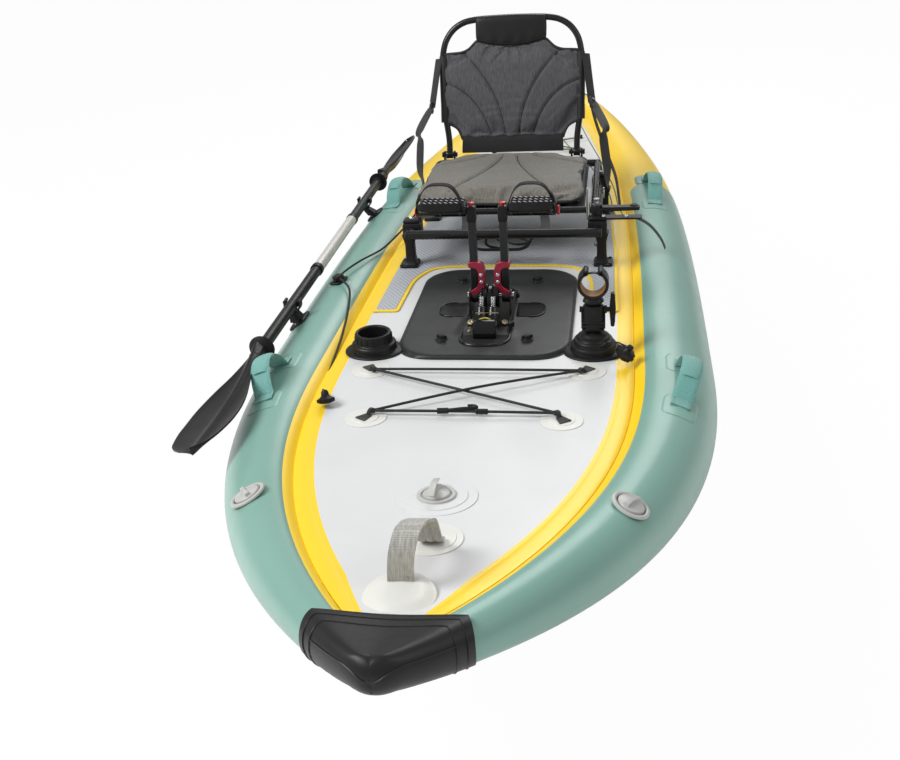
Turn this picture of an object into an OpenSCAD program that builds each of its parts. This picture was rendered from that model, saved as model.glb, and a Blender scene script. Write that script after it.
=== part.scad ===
// Inflatable pedal fishing kayak with a push-pedal fin drive, a frame seat, a rudder and a paddle.
// Millimetres. +Z is up, -Y is the bow, +X is port. The origin is on the flat bottom, on the centre line.

/* [Hull] */
// Distance from the origin to the bow end of the side tubes' centre line
bow_reach = 2005; // [1985:5:2030]
// Distance from the origin to the stern end of the side tubes' centre line
stern_reach = 1650; // [1620:10:1700]
// Half the distance between the side tubes' centre lines, at the widest station
tube_offset = 412; // [404:2:418]
// Diameter of the side tubes amidships
tube_d = 210; // [206:2:214]
// Height of the deck above the flat bottom amidships
deck_h = 200; // [196:1:202]
// Thickness of the coated fabric skin
skin = 1.5; // [1:0.1:2]

/* [Drive] */
// Forward lean of the pedal cranks when both pedals are level
crank_lean = 0; // [-10:1:10]
// Distance from the drum axle to the pedal axle
crank_len = 212; // [200:2:230]
// Length of each swinging fin below its hub
fin_len = 340; // [260:10:380]
// Width of a pedal
pedal_w = 114; // [100:2:118]

/* [Seat] */
// Backward lean of the backrest
back_lean = 13; // [8:1:16]
// Height of the backrest's top tube above its pivot
back_h = 392; // [380:2:410]
// Half the width of the seat cushion
pad_half_w = 226; // [200:2:226]

/* [Accessories] */
// Length of the paddle
paddle_len = 2300; // [2200:10:2340]
// Radius of the socket in the open accessory base
socket_r = 33; // [28:1:36]
// Height of the carrying handles above the tubes
handle_h = 55; // [40:1:60]

/* [Hidden] */
$fn = 48;

teal = "#7fb5ab";
yellow = "#f2c417";
pale_grey = "#d9dadb";
pad_grey = "#a3aab2";
off_white = "#e9e8dc";
gloss_black = "#15161a";
soft_black = "#232326";
fabric_grey = "#55565c";
fabric_warm = "#7b776c";
burgundy = "#8e1c34";
signal_red = "#c2182b";
lime = "#b5a63a";
silver = "#c8cacc";
bone = "#e2dfd3";

// ---------- Hull form ----------
widest_y = -850;
tube_r0 = tube_d / 2;
tube_top = tube_d + 5;
bow_power = 2.3;
bow_fullness = 0.92;
stern_power = 3;
stern_fullness = 0.6;
bow_rise = 100;
stern_rise = 70;
bow_rise_from = -860;
stern_rise_from = 800;
groove_angle = 43;
seam_angle = 29;
shoulder_w = 24;
gap = 1.5;
teal_end_y = 380;

function unit(v) = v / norm(v);
function clamp0(x) = max(x, 0);
function is_bow(y) = y < widest_y;
function reach(bow) = bow ? bow_reach + widest_y : stern_reach - widest_y;
function share(y) = min(abs(y - widest_y) / reach(is_bow(y)), 1);

// The tubes' centre line, half the hull, as a function of y
function tube_x(y) = tube_offset * (is_bow(y)
    ? pow(1 - pow(share(y), bow_power), bow_fullness)
    : pow(1 - pow(share(y), stern_power), stern_fullness));
// Squared share of the rise at the ends
function end_share(y) = y < 0
    ? pow(clamp0(bow_rise_from - y) / (bow_reach + bow_rise_from), 2)
    : pow(clamp0(y - stern_rise_from) / (stern_reach - stern_rise_from), 2);
function rise(y) = end_share(y) * (y < 0 ? bow_rise : stern_rise);
function tube_r(y) = tube_r0 - (y < 0
    ? 80 * pow(clamp0(widest_y - y) / reach(true), 1.5)
    : 47 * pow(clamp0(y - 300) / 1410, 1.8));
function tube_z(y) = tube_top + rise(y) - tube_r(y);
function deck_z(y) = deck_h + rise(y) + 6 * end_share(y);
function bottom_z(y) = tube_z(y) - tube_r(y) - 5;

// The same centre line by sweep angle: -90 at the bow end, 0 at the widest station, 90 at the stern end
function sweep_y(a) = a < 0
    ? widest_y - reach(true) * pow(1 - pow(cos(a), 1 / bow_fullness), 1 / bow_power)
    : widest_y + reach(false) * pow(1 - pow(cos(a), 1 / stern_fullness), 1 / stern_power);
function centre_a(a) = let (y = sweep_y(a)) [tube_offset * cos(a), y, tube_z(y)];
function centre_y(y) = [tube_x(y), y, tube_z(y)];
function out_of(t) = unit([t[1], -t[0], 0]);
// Tangent, outward normal and upward normal of the centre line
function frame_of(t) = let (n = out_of(t)) [t, n, cross(n, t)];
function frame_a(a) = frame_of(unit(centre_a(min(a + 0.4, 90)) - centre_a(max(a - 0.4, -90))));
function frame_y(y) = frame_of(unit(centre_y(y + 4) - centre_y(y - 4)));
// A point h off the tube's surface, at angle phi from its top (positive is inboard)
function on_tube(y, phi, h) = let (f = frame_y(y), r = tube_r(y) + h)
    centre_y(y) + r * (cos(phi) * f[2] - sin(phi) * f[1]);
function bow_angles(a0, n) = [for (i = [0:n]) a0 * (1 - i / n)];
function stern_angles(a0, a1, n) =
    let (b0 = pow(a0 / 90, 2 / 3), b1 = pow(a1 / 90, 2 / 3))
    [for (i = [0:n]) 90 * pow(b0 + (b1 - b0) * i / n, 1.5)];
teal_end_a = acos(pow(1 - pow(share(teal_end_y), stern_power), stern_fullness));
tube_end_a = 80;

function drop_first(v) = [for (i = [1:len(v) - 1]) v[i]];
function mirror_x(p) = [for (i = [0:len(p) - 1]) i == 0 ? -p[0] : p[i]];

// ---------- General shapes ----------
// A solid through a list of rings that all have the same number of points
module loft(rings) {
    n = len(rings[0]);
    m = len(rings);
    points = [for (r = rings) for (p = r) p];
    sides = [for (i = [0:m - 2]) for (j = [0:n - 1]) each let (a = i * n + j, b = i * n + (j + 1) % n)
        [[a, b, b + n], [a, b + n, a + n]]];
    ends = [[for (j = [n - 1:-1:0]) j], [for (j = [0:n - 1]) (m - 1) * n + j]];
    polyhedron(points, concat(sides, ends), convexity = 6);
}

// A pipe skin between outer and inner rings, open at both ends
module pipe(outer, inner) {
    n = len(outer[0]);
    m = len(outer);
    k = n * m;
    points = concat([for (r = outer) for (p = r) p], [for (r = inner) for (p = r) p]);
    walls = [for (i = [0:m - 2]) for (j = [0:n - 1]) each let (a = i * n + j, b = i * n + (j + 1) % n)
        [[a, b, b + n], [a, b + n, a + n], [a + k, b + n + k, b + k], [a + k, a + n + k, b + n + k]]];
    ends = [for (j = [0:n - 1]) each let (a = j, b = (j + 1) % n, c = (m - 1) * n)
        [[a, a + k, b + k], [a, b + k, b], [a + c, b + k + c, a + k + c], [a + c, b + c, b + k + c]]];
    polyhedron(points, concat(walls, ends), convexity = 6);
}

function ahead(p, i) = unit(p[min(i + 1, len(p) - 1)] - p[max(i - 1, 0)]);
function ring_at(p, i, section, side) = let (
        t = ahead(p, i),
        s = unit(side - (side * t) * t),
        u = cross(s, t))
    [for (c = section) p[i] + c[0] * s + c[1] * u];
// A section carried along a path; side is the direction of the section's first axis
module sweep(path, section, side) {
    loft([for (i = [0:len(path) - 1]) ring_at(path, i, section, side)]);
}
function round_section(r, n = 8) = [for (i = [0:n - 1]) r * [cos(360 * i / n), sin(360 * i / n)]];
function flat_section(w, t) = [[-w, -t], [w, -t], [w, t], [-w, t]] / 2;
// A cubic curve through two ends with two handles
function curve(a, b, c, d, n) = [for (i = [0:n]) let (t = i / n, s = 1 - t)
    s * s * s * a + 3 * s * s * t * b + 3 * s * t * t * c + t * t * t * d];

// A round bar between two points
module bar(a, b, r) {
    v = b - a;
    translate(a)
        rotate([0, acos(v[2] / norm(v)), atan2(v[1], v[0])])
            cylinder(r = r, h = norm(v));
}
module bar_x(x0, x1, r) {
    translate([x0, 0, 0])
        rotate([0, 90, 0])
            cylinder(r = r, h = x1 - x0);
}
module bar_y(y0, y1, r) {
    translate([0, y1, 0])
        rotate([90, 0, 0])
            cylinder(r = r, h = y1 - y0);
}
// A box given by its lowest and highest corners
module block(lo, hi) {
    translate(lo)
        cube(hi - lo);
}
module rounded_rect(w, l, r) {
    for (s = [-1, 1]) translate([s * (w / 2 - r), 0]) {
        translate([0, l / 2 - r]) circle(r);
        translate([0, r - l / 2]) circle(r);
    }
    square([w - 2 * r, l], center = true);
    square([w, l - 2 * r], center = true);
}
module both_sides() {
    children();
    mirror([1, 0, 0]) children();
}
// Stands children on the deck at x, y, tilted to its slope
module stand_on_deck(x, y) {
    translate([x, y, deck_z(y)])
        rotate([atan2(deck_z(y + 5) - deck_z(y - 5), 10), 0, 0])
            children();
}

// ---------- Hull skins ----------
function circle_ring(c, f, r, n) = [for (j = [0:n - 1]) let (p = 360 * j / n)
    c + r * (cos(p) * f[2] + sin(p) * f[1])];
module tube_skin(angles) {
    outer = [for (a = angles) circle_ring(centre_a(a), frame_a(a), tube_r(sweep_y(a)), 24)];
    inner = [for (a = angles) circle_ring(centre_a(a), frame_a(a), tube_r(sweep_y(a)) - skin, 24)];
    pipe(outer, inner);
}
module side_tube() {
    tube_skin(concat(bow_angles(-tube_end_a, 18), drop_first(stern_angles(0, teal_end_a, 5))));
}
module tube_port() {
    color(teal) side_tube();
}
module tube_starboard() {
    color(teal) mirror([1, 0, 0]) side_tube();
}
module stern_tubes() {
    color(yellow) both_sides() tube_skin(stern_angles(teal_end_a + 0.08, tube_end_a, 12));
}

// One side of the floor's section at y: shoulder, side along the tube, bottom corner
function floor_side(y, inset) = let (
        c = centre_y(y),
        lean = frame_y(y)[1][0],
        r = tube_r(y),
        away = gap + 4 * end_share(y) + inset,
        groove_z = c[2] + r * cos(groove_angle),
        shoulder = min(shoulder_w, 0.3 * c[0]),
        top = deck_z(y) - inset,
        low = bottom_z(y) + inset)
    concat(
        [for (k = [3:-1:0]) let (t = 30 * k, d = r * sin(groove_angle) + away + shoulder * (1 - cos(t)))
            [c[0] - d / lean, y, groove_z + (top - groove_z) * sin(t)]],
        [for (p = [62, 88, 114, 140]) [c[0] - (r + away) * sin(p) / lean, y, c[2] + (r + away) * cos(p)]],
        [for (e = [[0.78, 6], [1, 0]]) [c[0] - e[0] * (r + inset) / lean, y, low + e[1]]]);
function floor_ring(y, inset) = let (side = floor_side(y, inset), n = len(side))
    concat(side, [for (i = [n - 1:-1:0]) mirror_x(side[i])]);
floor_stations = concat([for (a = bow_angles(-76, 12)) sweep_y(a)],
    [for (a = drop_first(stern_angles(0, 70, 11))) sweep_y(a)]);
well_x = 48;
well_y0 = -832;
well_y1 = -492;
well_wall = 4;
module well_block(grow, z0, z1) {
    block([-well_x - grow, well_y0 - grow, z0], [well_x + grow, well_y1 + grow, z1]);
}
module deck_floor() {
    color(pale_grey)
        difference() {
            pipe([for (y = floor_stations) floor_ring(y, 0)], [for (y = floor_stations) floor_ring(y, skin)]);
            well_block(well_wall + 2, -10, deck_h + 10);
        }
}

// The coloured strip that welds the floor's shoulder to the tube, over the groove
function band_line(a, lift) = let (
        c = centre_a(a),
        f = frame_a(a),
        y = c[1],
        r = tube_r(y),
        groove_z = c[2] + r * cos(groove_angle),
        shoulder = min(shoulder_w, 0.3 * c[0]))
    concat(
        [for (p = [seam_angle:4:41]) c + (r + lift) * (cos(p) * f[2] - sin(p) * f[1])],
        [for (t = [25:15:55]) let (d = r * sin(groove_angle) + gap + shoulder * (1 - cos(t)) - lift * cos(t))
            [c[0] - d * f[1][0], c[1] - d * f[1][1], groove_z + (deck_z(y) - groove_z + lift) * sin(t)]]);
function band_ring(a) = let (low = band_line(a, 0.4), high = band_line(a, 0.4 + skin), n = len(low))
    concat(high, [for (i = [n - 1:-1:0]) low[i]]);
module deck_bands() {
    color(yellow) both_sides()
        loft([for (a = concat(bow_angles(-78, 15), drop_first(stern_angles(0, 76, 14)))) band_ring(a)]);
}

module bow_cap() {
    color(soft_black) cap_shell([for (a = [-75:-2.5:-90]) a]);
}
module stern_cap() {
    color(soft_black) cap_shell([for (a = [66:3:90]) a]);
}
module cap_shell(angles) {
    m = len(angles);
    half_out = [for (a = angles) circle_ring(centre_a(a), frame_a(a), tube_r(sweep_y(a)) + 3, 24)];
    half_in = [for (a = angles) circle_ring(centre_a(a), frame_a(a), tube_r(sweep_y(a)) + 0.5, 24)];
    pipe(round_the_nose(half_out), round_the_nose(half_in));
}
function round_the_nose(half) = concat(half,
    [for (i = [len(half) - 2:-1:0]) [for (j = [0:23]) mirror_x(half[i][j])]]);

// ---------- Deck fittings ----------
// A thin patch on a tube between y0 and y1, w degrees each side of phi, with square or round ends
module tube_patch(y0, y1, phi, w, is_round) {
    y = (y0 + y1) / 2;
    t = frame_y(y)[0];
    r = tube_r(y);
    l = y1 - y0;
    translate(centre_y(y)) rotate([asin(t[2]), 0, atan2(-t[0], t[1])]) intersection() {
        rotate([90, 0, 0]) difference() {
            cylinder(r = r + 1.8, h = l + 4, center = true);
            cylinder(r = r + 0.6, h = l + 6, center = true);
        }
        rotate([0, -phi, 0]) if (is_round) cylinder(r = l / 2, h = 2 * r);
        else block([-r * sin(w), -l / 2, 0], [r * sin(w), l / 2, 2 * r]);
    }
}
pad_z = deck_h + 0.3;
pad_t = 5;
function pad_outline(inset) = let (
        half = [[304 - inset, -620 + inset], [300 - inset, -560], [258 - inset, 540], [254 - inset, 600],
            [236 - inset * 0.8, 634 - inset * 0.5], [204, 650 - inset]],
        inner = [[168, -314 + inset], [192 + inset * 0.4, -326 + inset],
            [212 + inset * 0.7, -350 + inset * 0.7],
            [226 + inset, -384 + inset * 0.4], [232 + inset, -437], [236 + inset, -620 + inset]])
    concat(half, [for (i = [5:-1:0]) mirror_x(half[i])],
        [for (i = [5:-1:0]) mirror_x(inner[i])], inner);
module foam_pad() {
    color(pad_grey)
        translate([0, 0, pad_z])
            linear_extrude(pad_t) polygon(pad_outline(7));
}
module pad_border() {
    color(yellow)
        translate([0, 0, pad_z])
            linear_extrude(pad_t - 1)
                difference() {
                    polygon(pad_outline(0));
                    polygon(pad_outline(6.8));
                }
}
plate_t = 8;
module drive_well() {
    color(soft_black) difference() {
        union() {
            translate([0, -617, pad_z])
                linear_extrude(plate_t) rounded_rect(400, 546, 100);
            well_block(well_wall, 2, pad_z + 1);
        }
        well_block(0, -10, pad_z + 20);
        translate([0, -590, pad_z + plate_t - 3]) linear_extrude(5) rounded_rect(230, 36, 17);
    }
}
knob_at = [[97, -440], [99, -800]];
module well_knobs() {
    color(soft_black) both_sides() for (k = knob_at) translate([k[0], k[1], pad_z + plate_t]) {
        cylinder(r = 13, h = 9);
        translate([0, 0, 5]) linear_extrude(9) rounded_rect(40, 13, 6);
    }
}

// Webbing arch on a tube, from y0 to y1
handle_span = [[-1140, -925, -18], [170, 440, -8]];
function arch(y0, y1, phi) = [for (i = [0:12]) let (t = i / 12, h = pow(sin(180 * t), 0.7))
    on_tube(y0 + (y1 - y0) * (0.12 + 0.76 * t), phi, 3 + handle_h * h)];
module side_handles() {
    color(teal) both_sides() for (s = handle_span)
        sweep(arch(s[0], s[1], s[2]), flat_section(44, 2.4), [1, 0, 0]);
}
bow_patch_y = [-1798, -1654];
module bow_handle() {
    a = [0, bow_patch_y[0], deck_z(bow_patch_y[0]) + 10];
    b = [0, bow_patch_y[1], deck_z(bow_patch_y[1]) + 4];
    top = [0, 0, 120];
    color(fabric_grey) sweep(curve(a, a + top + [0, -20, 0], b + top + [0, 26, 0], b, 16),
        flat_section(36, 5), [1, 0, 0]);
}
bungee_at = [[274, -940], [232, -1182]];
valve_y = -1500;
side_valve = [-1527, -23];
function phi_of(p) = asin((tube_x(p[1]) - p[0]) / tube_r(p[1]));
module deck_patches() {
    color(off_white) {
        both_sides() {
            for (p = bungee_at) translate([p[0] - 30, p[1], deck_z(p[1]) + 1.6]) cylinder(r = 36, h = 1.2);
            for (s = handle_span) for (e = [s[0], s[1]]) tube_patch(e - 34, e + 34, s[2], 20, false);
            tube_patch(-640, -560, -60, 22, true);
        }
        stand_on_deck(0, valve_y) translate([0, 0, 0.6]) cylinder(r = 60, h = 1.6);
        stand_on_deck(0, bow_patch_y[1]) translate([0, 0, 0.6]) cylinder(r = 52, h = 1.6);
    }
}
module valve_cup(r) {
    difference() {
        cylinder(r = r, h = 7);
        translate([0, 0, 2.5]) cylinder(r = r - 5, h = 10);
    }
    translate([0, 0, 2]) cylinder(r = 8, h = 6);
}
module valve_bodies() {
    color(silver) {
        stand_on_deck(0, valve_y) translate([0, 0, 2.6]) valve_cup(30);
        both_sides() translate(on_tube(side_valve[0], side_valve[1], 3)) rotate([0, 25, 0]) valve_cup(28);
    }
}
module valve_caps() {
    color(soft_black) {
        stand_on_deck(0, valve_y) translate([0, 0, 10.8]) cylinder(r = 24, h = 9);
        both_sides() translate(on_tube(side_valve[0], side_valve[1], 3)) rotate([0, 25, 0])
            translate([0, 0, 8.3]) cylinder(r = 21, h = 9);
    }
}
function bungee_point(i, s) = [s * (bungee_at[i][0] - 30), bungee_at[i][1], deck_z(bungee_at[i][1]) + 14];
module bungee_fittings() {
    color(soft_black) {
        for (s = [-1, 1]) for (i = [0, 1]) {
            p = bungee_point(i, s);
            translate(p - [0, 0, 4.6]) linear_extrude(2) rounded_rect(34, 40, 5);
            translate(p - [0, 0, 11]) cylinder(r = 10, h = 8);
        }
    }
}
module bungee_cord() {
    p = [bungee_point(0, -1), bungee_point(1, 1), bungee_point(1, -1), bungee_point(0, 1)];
    color(soft_black) {
        bar(p[0] + [6, -6, 3.2], p[1] + [-6, 6, 3.2], 3);
        bar(p[1] + [-14, 0, 3.2], p[2] + [14, 0, 3.2], 3);
        bar(p[2] + [6, 6, 9.6], p[3] + [-6, -6, 9.6], 3);
        bar(p[0] + [14, 0, 3.2], p[3] + [-14, 0, 3.2], 3);
    }
}
module rear_bungee() {
    color(off_white) both_sides() for (y = [850, 1000])
        translate([150, y, deck_z(y)]) cylinder(r = 20, h = 4);
    color(lime) {
        for (s = [-1, 1]) bar([-150 * s, 850, deck_z(850) + 8], [150 * s, 1000, deck_z(1000) + 8], 3);
        both_sides() for (y = [850, 1000]) translate([150, y, deck_z(y) + 2]) cylinder(r = 8, h = 9);
    }
}
module leash(p, q, sag, r) {
    sweep(curve(p, p + (q - p) / 3 + [0, 0, sag], q - (q - p) / 3 + [0, 0, sag], q, 10), round_section(r, 8),
        [1, 0.1, 0]);
}
cord_from = [-372, -453, 218];
plug_at = [-313, -1050, 212];
module tether_fittings() {
    color(soft_black) {
        tube_patch(-490, -416, 18, 20, true);
        translate(cord_from + [0, 0, -6]) cylinder(r = 9, h = 12);
        translate(plug_at) cylinder(r = 17, h = 16);
        translate([317, -894, deck_h + 16]) cylinder(r = 30, h = 18);
    }
}
module tether_cords() {
    color(soft_black) {
        leash(cord_from + [4, -13, 6], plug_at + [4, 24, 8], 18, 2.4);
        leash([317, -861, deck_h + 26], [268, -770, deck_h + 14], 16, 2.4);
    }
}
function base_post(s) = [s * 250, -840, deck_h];
module base_foot(s, h) {
    translate(base_post(s)) {
        translate([0, 0, 0.6]) linear_extrude(h) rounded_rect(112, 114, 55);
        translate([0, 0, 0.6]) cylinder(r = 48, h = h + 13);
    }
}
cup_top = 48;
module cup_base() {
    color(soft_black) difference() {
        union() {
            base_foot(-1, 8);
            translate(base_post(-1) + [0, 0, 5]) cylinder(r = 41, h = cup_top - 5);
        }
        translate(base_post(-1) + [0, 0, cup_top - 32]) cylinder(r = socket_r, h = 40);
    }
}
module holder_base() {
    color(soft_black) {
        base_foot(1, 8);
        translate(base_post(1) + [0, 0, 5]) cylinder(r = 40, h = 29);
        translate(base_post(1) + [0, 0, 30]) cylinder(r1 = 38, r2 = 26, h = 22);
    }
}
paddle_x = -489;
paddle_z = 243;
clip_y = [-666, 167];
module paddle_clips() {
    color(soft_black) for (y = clip_y) translate([paddle_x, 0, paddle_z]) {
        difference() {
            union() {
                bar_clip(y, 22);
                block([-11, y - 14, -54], [11, y + 14, -15]);
            }
            bar_clip(y, 17.5);
            block([-12, y - 30, 3], [12, y + 30, 40]);
        }
        translate([4, y, -48]) rotate([0, -42, 0]) translate([0, 0, -14]) cylinder(r = 26, h = 5);
    }
}
module bar_clip(y, r) {
    translate([0, y + 14, 0]) rotate([90, 0, 0]) cylinder(r = r, h = 28);
}
line_start = [318, -282, 322];
module steering_lines() {
    color(lime) for (k = [0, 1])
        leash(line_start - [28 * k, 0, 4], [34 - 68 * k, 1700, 292], k * 12 - 4, 2);
}

// ---------- Rudder ----------
pin_y = 1756;
pin_z = [170, 286];
module rudder_bracket() {
    color(soft_black) {
        for (z = [pin_z[0], pin_z[1] - 12]) translate([0, 0, z]) difference() {
            linear_extrude(12) {
                translate([0, pin_y]) circle(16);
                translate([0, pin_y - 23]) square([32, 46], center = true);
            }
        }
        block([-26, 1706, 166], [26, 1714, 292]);
        translate([0, pin_y, pin_z[0]]) cylinder(r = 5, h = pin_z[1] - pin_z[0]);
    }
}
kick_y = 1796;
kick_z = 214;
module rudder_head() {
    color(soft_black) {
        difference() {
            union() {
                translate([0, pin_y, pin_z[0] + 12.3]) cylinder(r = 14, h = pin_z[1] - pin_z[0] - 24.6);
                block([-10, pin_y + 4, 190], [10, 1774, 250]);
                both_sides() block([4.3, 1770, 190], [10, 1812, 238]);
                translate([0, pin_y, 262]) linear_extrude(6) rounded_rect(110, 22, 10);
            }
            translate([0, pin_y, 0]) cylinder(r = 5.05, h = 400);
        }
        translate([0, kick_y, kick_z]) bar_x(-13, 13, 4);
    }
}
module rudder_blade() {
    color(gloss_black) difference() {
        translate([-4, 0, 0]) rotate([90, 0, 90]) linear_extrude(8) difference() {
            polygon(concat([for (a = [-10:15:190]) [kick_y, kick_z] + 18 * [cos(a), sin(a)]],
                [[1778, 110], [1764, -60], [1772, -150], [1800, -172], [1846, -160], [1872, -90], [1862, 40],
                    [1830, 130]]));
            translate([kick_y, kick_z]) circle(4.05);
        }
    }
}

// ---------- Seat ----------
rail_x = 245;
rail_z = 308;
front_y = -350;
rear_y = 200;
frame_z = 342;
pivot_z = 376;
tube_seat = 11;
foot_y = [-300, 100];
foot_x = 265;
module seat_frame() {
    color(soft_black) {
        translate([0, front_y, rail_z]) bar_x(-rail_x - 9, rail_x + 9, tube_seat);
        translate([0, rear_y, frame_z - 2]) bar_x(-246, 246, tube_seat);
        translate([0, -262, frame_z]) bar_x(-236, 236, 9);
        both_sides() {
            translate([rail_x, 0, rail_z]) bar_y(front_y, 166, tube_seat);
            bar([rail_x - 1, 150, rail_z], [236, rear_y, frame_z - 2], tube_seat - 1);
            translate([236, 0, frame_z]) bar_y(-270, rear_y, 8.5);
            for (y = [-200, 60]) bar([rail_x - 2, y, rail_z], [236, y, frame_z], 7);
        }
    }
}
module seat_feet() {
    color(soft_black) both_sides() for (y = foot_y) translate([foot_x, y, 0]) {
        translate([-6, 0, deck_h + pad_t + 0.6]) linear_extrude(9) rounded_rect(64, 86, 16);
        block([-20, -17, deck_h + pad_t + 4], [8, 17, rail_z - 8]);
        difference() {
            block([-38, -20, rail_z - 22], [12, 20, rail_z + 22]);
            translate([rail_x - foot_x, 30, rail_z]) rotate([90, 0, 0]) cylinder(r = tube_seat + 0.2, h = 60);
        }
        translate([-20, 0, rail_z + 21]) cylinder(r = 7, h = 6);
    }
}
module seat_pad() {
    color(fabric_warm) translate([seat_shift, 0, 0]) difference() {
        translate([0, -42, frame_z + 10]) linear_extrude(36) rounded_rect(2 * pad_half_w, 414, 46);
        for (x = [-90, 0, 90]) translate([x, 0, frame_z + 48]) bar_y(-260, 180, 4);
    }
}
eye_x = 194;
seat_shift = -20;
module hinge_brackets() {
    color(silver) translate([seat_shift, 0, 0]) both_sides() {
        for (x = [eye_x - 18, eye_x + 12.2]) translate([x, rear_y, 0]) rotate([90, 0, 90]) linear_extrude(6) {
            translate([0, pivot_z]) circle(11);
            translate([0, (pivot_z + frame_z) / 2]) square([22, pivot_z - frame_z], center = true);
        }
        translate([0, rear_y, pivot_z]) bar_x(eye_x - 22, eye_x + 22, 5);
    }
}
// A point of the backrest: x across, h up along it, d out towards its rear
function back_p(x, h, d) = [x, rear_y + h * sin(back_lean) + d * cos(back_lean),
    pivot_z + h * cos(back_lean) - d * sin(back_lean)];
back_line = [[eye_x, 7], [eye_x + 2, 60], [205, 96], [206, 200], [205, 290], [196, 335], [172, 368],
    [140, 386], [104, back_h - 6], [60, back_h]];
function back_path(line) = let (n = len(line), half = [for (q = line) back_p(q[0], q[1], 0)])
    concat(half, [for (i = [n - 1:-1:0]) mirror_x(half[i])]);
module backrest_frame() {
    color(soft_black) translate([seat_shift, 0, 0]) difference() {
        union() {
            sweep(back_path(back_line), round_section(9, 16), [0, 1, 0.2]);
            translate([0, rear_y, pivot_z]) both_sides() bar_x(eye_x - 10, eye_x + 10, 11);
        }
        translate([0, rear_y, pivot_z]) bar_x(-eye_x - 20, eye_x + 20, 5.06);
    }
}
// A flat panel lying on the backrest's plane
module on_back(d) {
    translate([0, rear_y, pivot_z]) rotate([-back_lean, 0, 0]) translate([0, d, 0]) rotate([90, 0, 0])
        children();
}
module backrest_panel() {
    color(fabric_warm) translate([seat_shift, 0, 0]) on_back(6) difference() {
        linear_extrude(14) polygon([[-153, 56], [153, 56], [158, 84], [209, 92], [209, 286], [150, 290],
            [108, 312], [-108, 312], [-150, 290], [-209, 286], [-209, 92], [-158, 84]]);
        for (x = [-100, -36, 36, 100]) translate([x, 0, 15]) bar_y(108, 310, 3);
    }
}
module headrest_band() {
    color(soft_black) translate([seat_shift, 0, 0]) on_back(10.6)
        linear_extrude(22) difference() {
            polygon([[-106, 315], [106, 315], [102, back_h + 10], [90, back_h + 14], [-90, back_h + 14],
                [-102, back_h + 10]]);
            polygon([[-89, 314], [-89, 380], [89, 380], [89, 314]]);
        }
}
module lumbar_band() {
    color(soft_black) translate([seat_shift, 0, 0]) on_back(8)
        linear_extrude(16) polygon([[-148, 4], [148, 4], [152, 54], [-152, 54]]);
}
strap_low = [256, 0, 316];
strap_mid = [256, 120, 452];
module strap(a, b, w) {
    sweep([a, (a + b) / 2, b], flat_section(2, w), [1, 0, 0]);
}
module lower_straps() {
    color(fabric_grey) both_sides() {
        strap(strap_low + [4, 0, 0], strap_mid + [4, 0, 0], 24);
        translate([0, 0, rail_z]) bar_x(rail_x + 11.2, rail_x + 16, 14);
    }
}
module upper_straps() {
    color(fabric_grey) translate([seat_shift, 0, 0]) both_sides() {
        strap(back_p(219, 128, 0), back_p(219, 196, 0), 24);
        translate(back_p(0, 196, 0)) bar_x(209.6, 222, 10);
    }
}
module strap_buckles() {
    color(soft_black) translate([seat_shift, 0, 0]) both_sides() on_back(17) linear_extrude(34)
        polygon([[220.2, 140], [227, 140], [227, 182], [220.2, 182]]);
}
steer = [245, -300, 0];
module steering_post() {
    color(silver) translate(steer) {
        translate([0, 0, rail_z + 22.2]) linear_extrude(5) {
            rounded_rect(44, 34, 14);
            translate([56, 0]) rounded_rect(120, 30, 12);
        }
        translate([0, 0, 252]) cylinder(r = 4.5, h = 104);
        translate([0, 0, rail_z + 22]) cylinder(r = 12, h = 12);
        translate([-22, 0, rail_z + 22]) cylinder(r = 5, h = 86);
    }
}
module steering_lever() {
    color(soft_black) translate(steer) difference() {
        union() {
            translate([0, 0, rail_z + 34.3]) cylinder(r = 14, h = 26);
            translate([50, 0, rail_z + 42]) linear_extrude(8) rounded_rect(124, 26, 12);
            translate([96, 0, rail_z + 42]) cylinder(r = 11, h = 15);
        }
        cylinder(r = 4.56, h = 600);
    }
}

// ---------- Drive ----------
axle_y = -640;
axle_z = 253;
spine_z = -30;
fin_y = [-796, -652];
hub_l = 44;
module drive_housing() {
    color(gloss_black) {
        difference() {
            union() {
                block([-46, -828, 20], [46, -496, 226]);
                block([-4.7, -690, 220], [4.7, -590, axle_z + 24]);
                translate([0, -735, 240]) bar_x(-24, 24, 32);
            }
            block([5.2, -676, 216], [50, -604, 300]);
            block([-50, -676, 216], [-5.2, -604, 300]);
            translate([0, axle_y, axle_z]) bar_x(-60, 60, 5.06);
        }
        both_sides() difference() {
            block([46.4 + 0.6, -666, 209], [51, -614, axle_z + 14]);
            translate([0, axle_y, axle_z]) bar_x(0, 60, 5.06);
        }
        block([-51, -670, 209.2], [51, -610, 215.5]);
        for (y = [-828, fin_y[0] + hub_l / 2 + 4, fin_y[1] + hub_l / 2 + 4])
            block([-9, y, spine_z - 4], [9, y + (y == -828 ? 6 : 40), 30]);
        translate([0, 0, spine_z]) bar_y(-828, -560, 8);
    }
}
module trim_ring() {
    color(lime) translate([0, -735, 240]) for (x = [-24, 20]) difference() {
        bar_x(x, x + 4, 34.5);
        bar_x(x - 1, x + 5, 32.2);
        block([-40, -40, -40], [40, 40, -6]);
    }
}
module drive_shafts() {
    color(silver) {
        translate([0, axle_y, axle_z]) {
            bar_x(-55, 55, 5);
            both_sides() bar_x(51.2, 56, 9);
        }
        both_sides() translate([45 - 9, -706, 0]) translate([0, 0, 226]) cylinder(r = 8, h = 8);
    }
}
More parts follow.
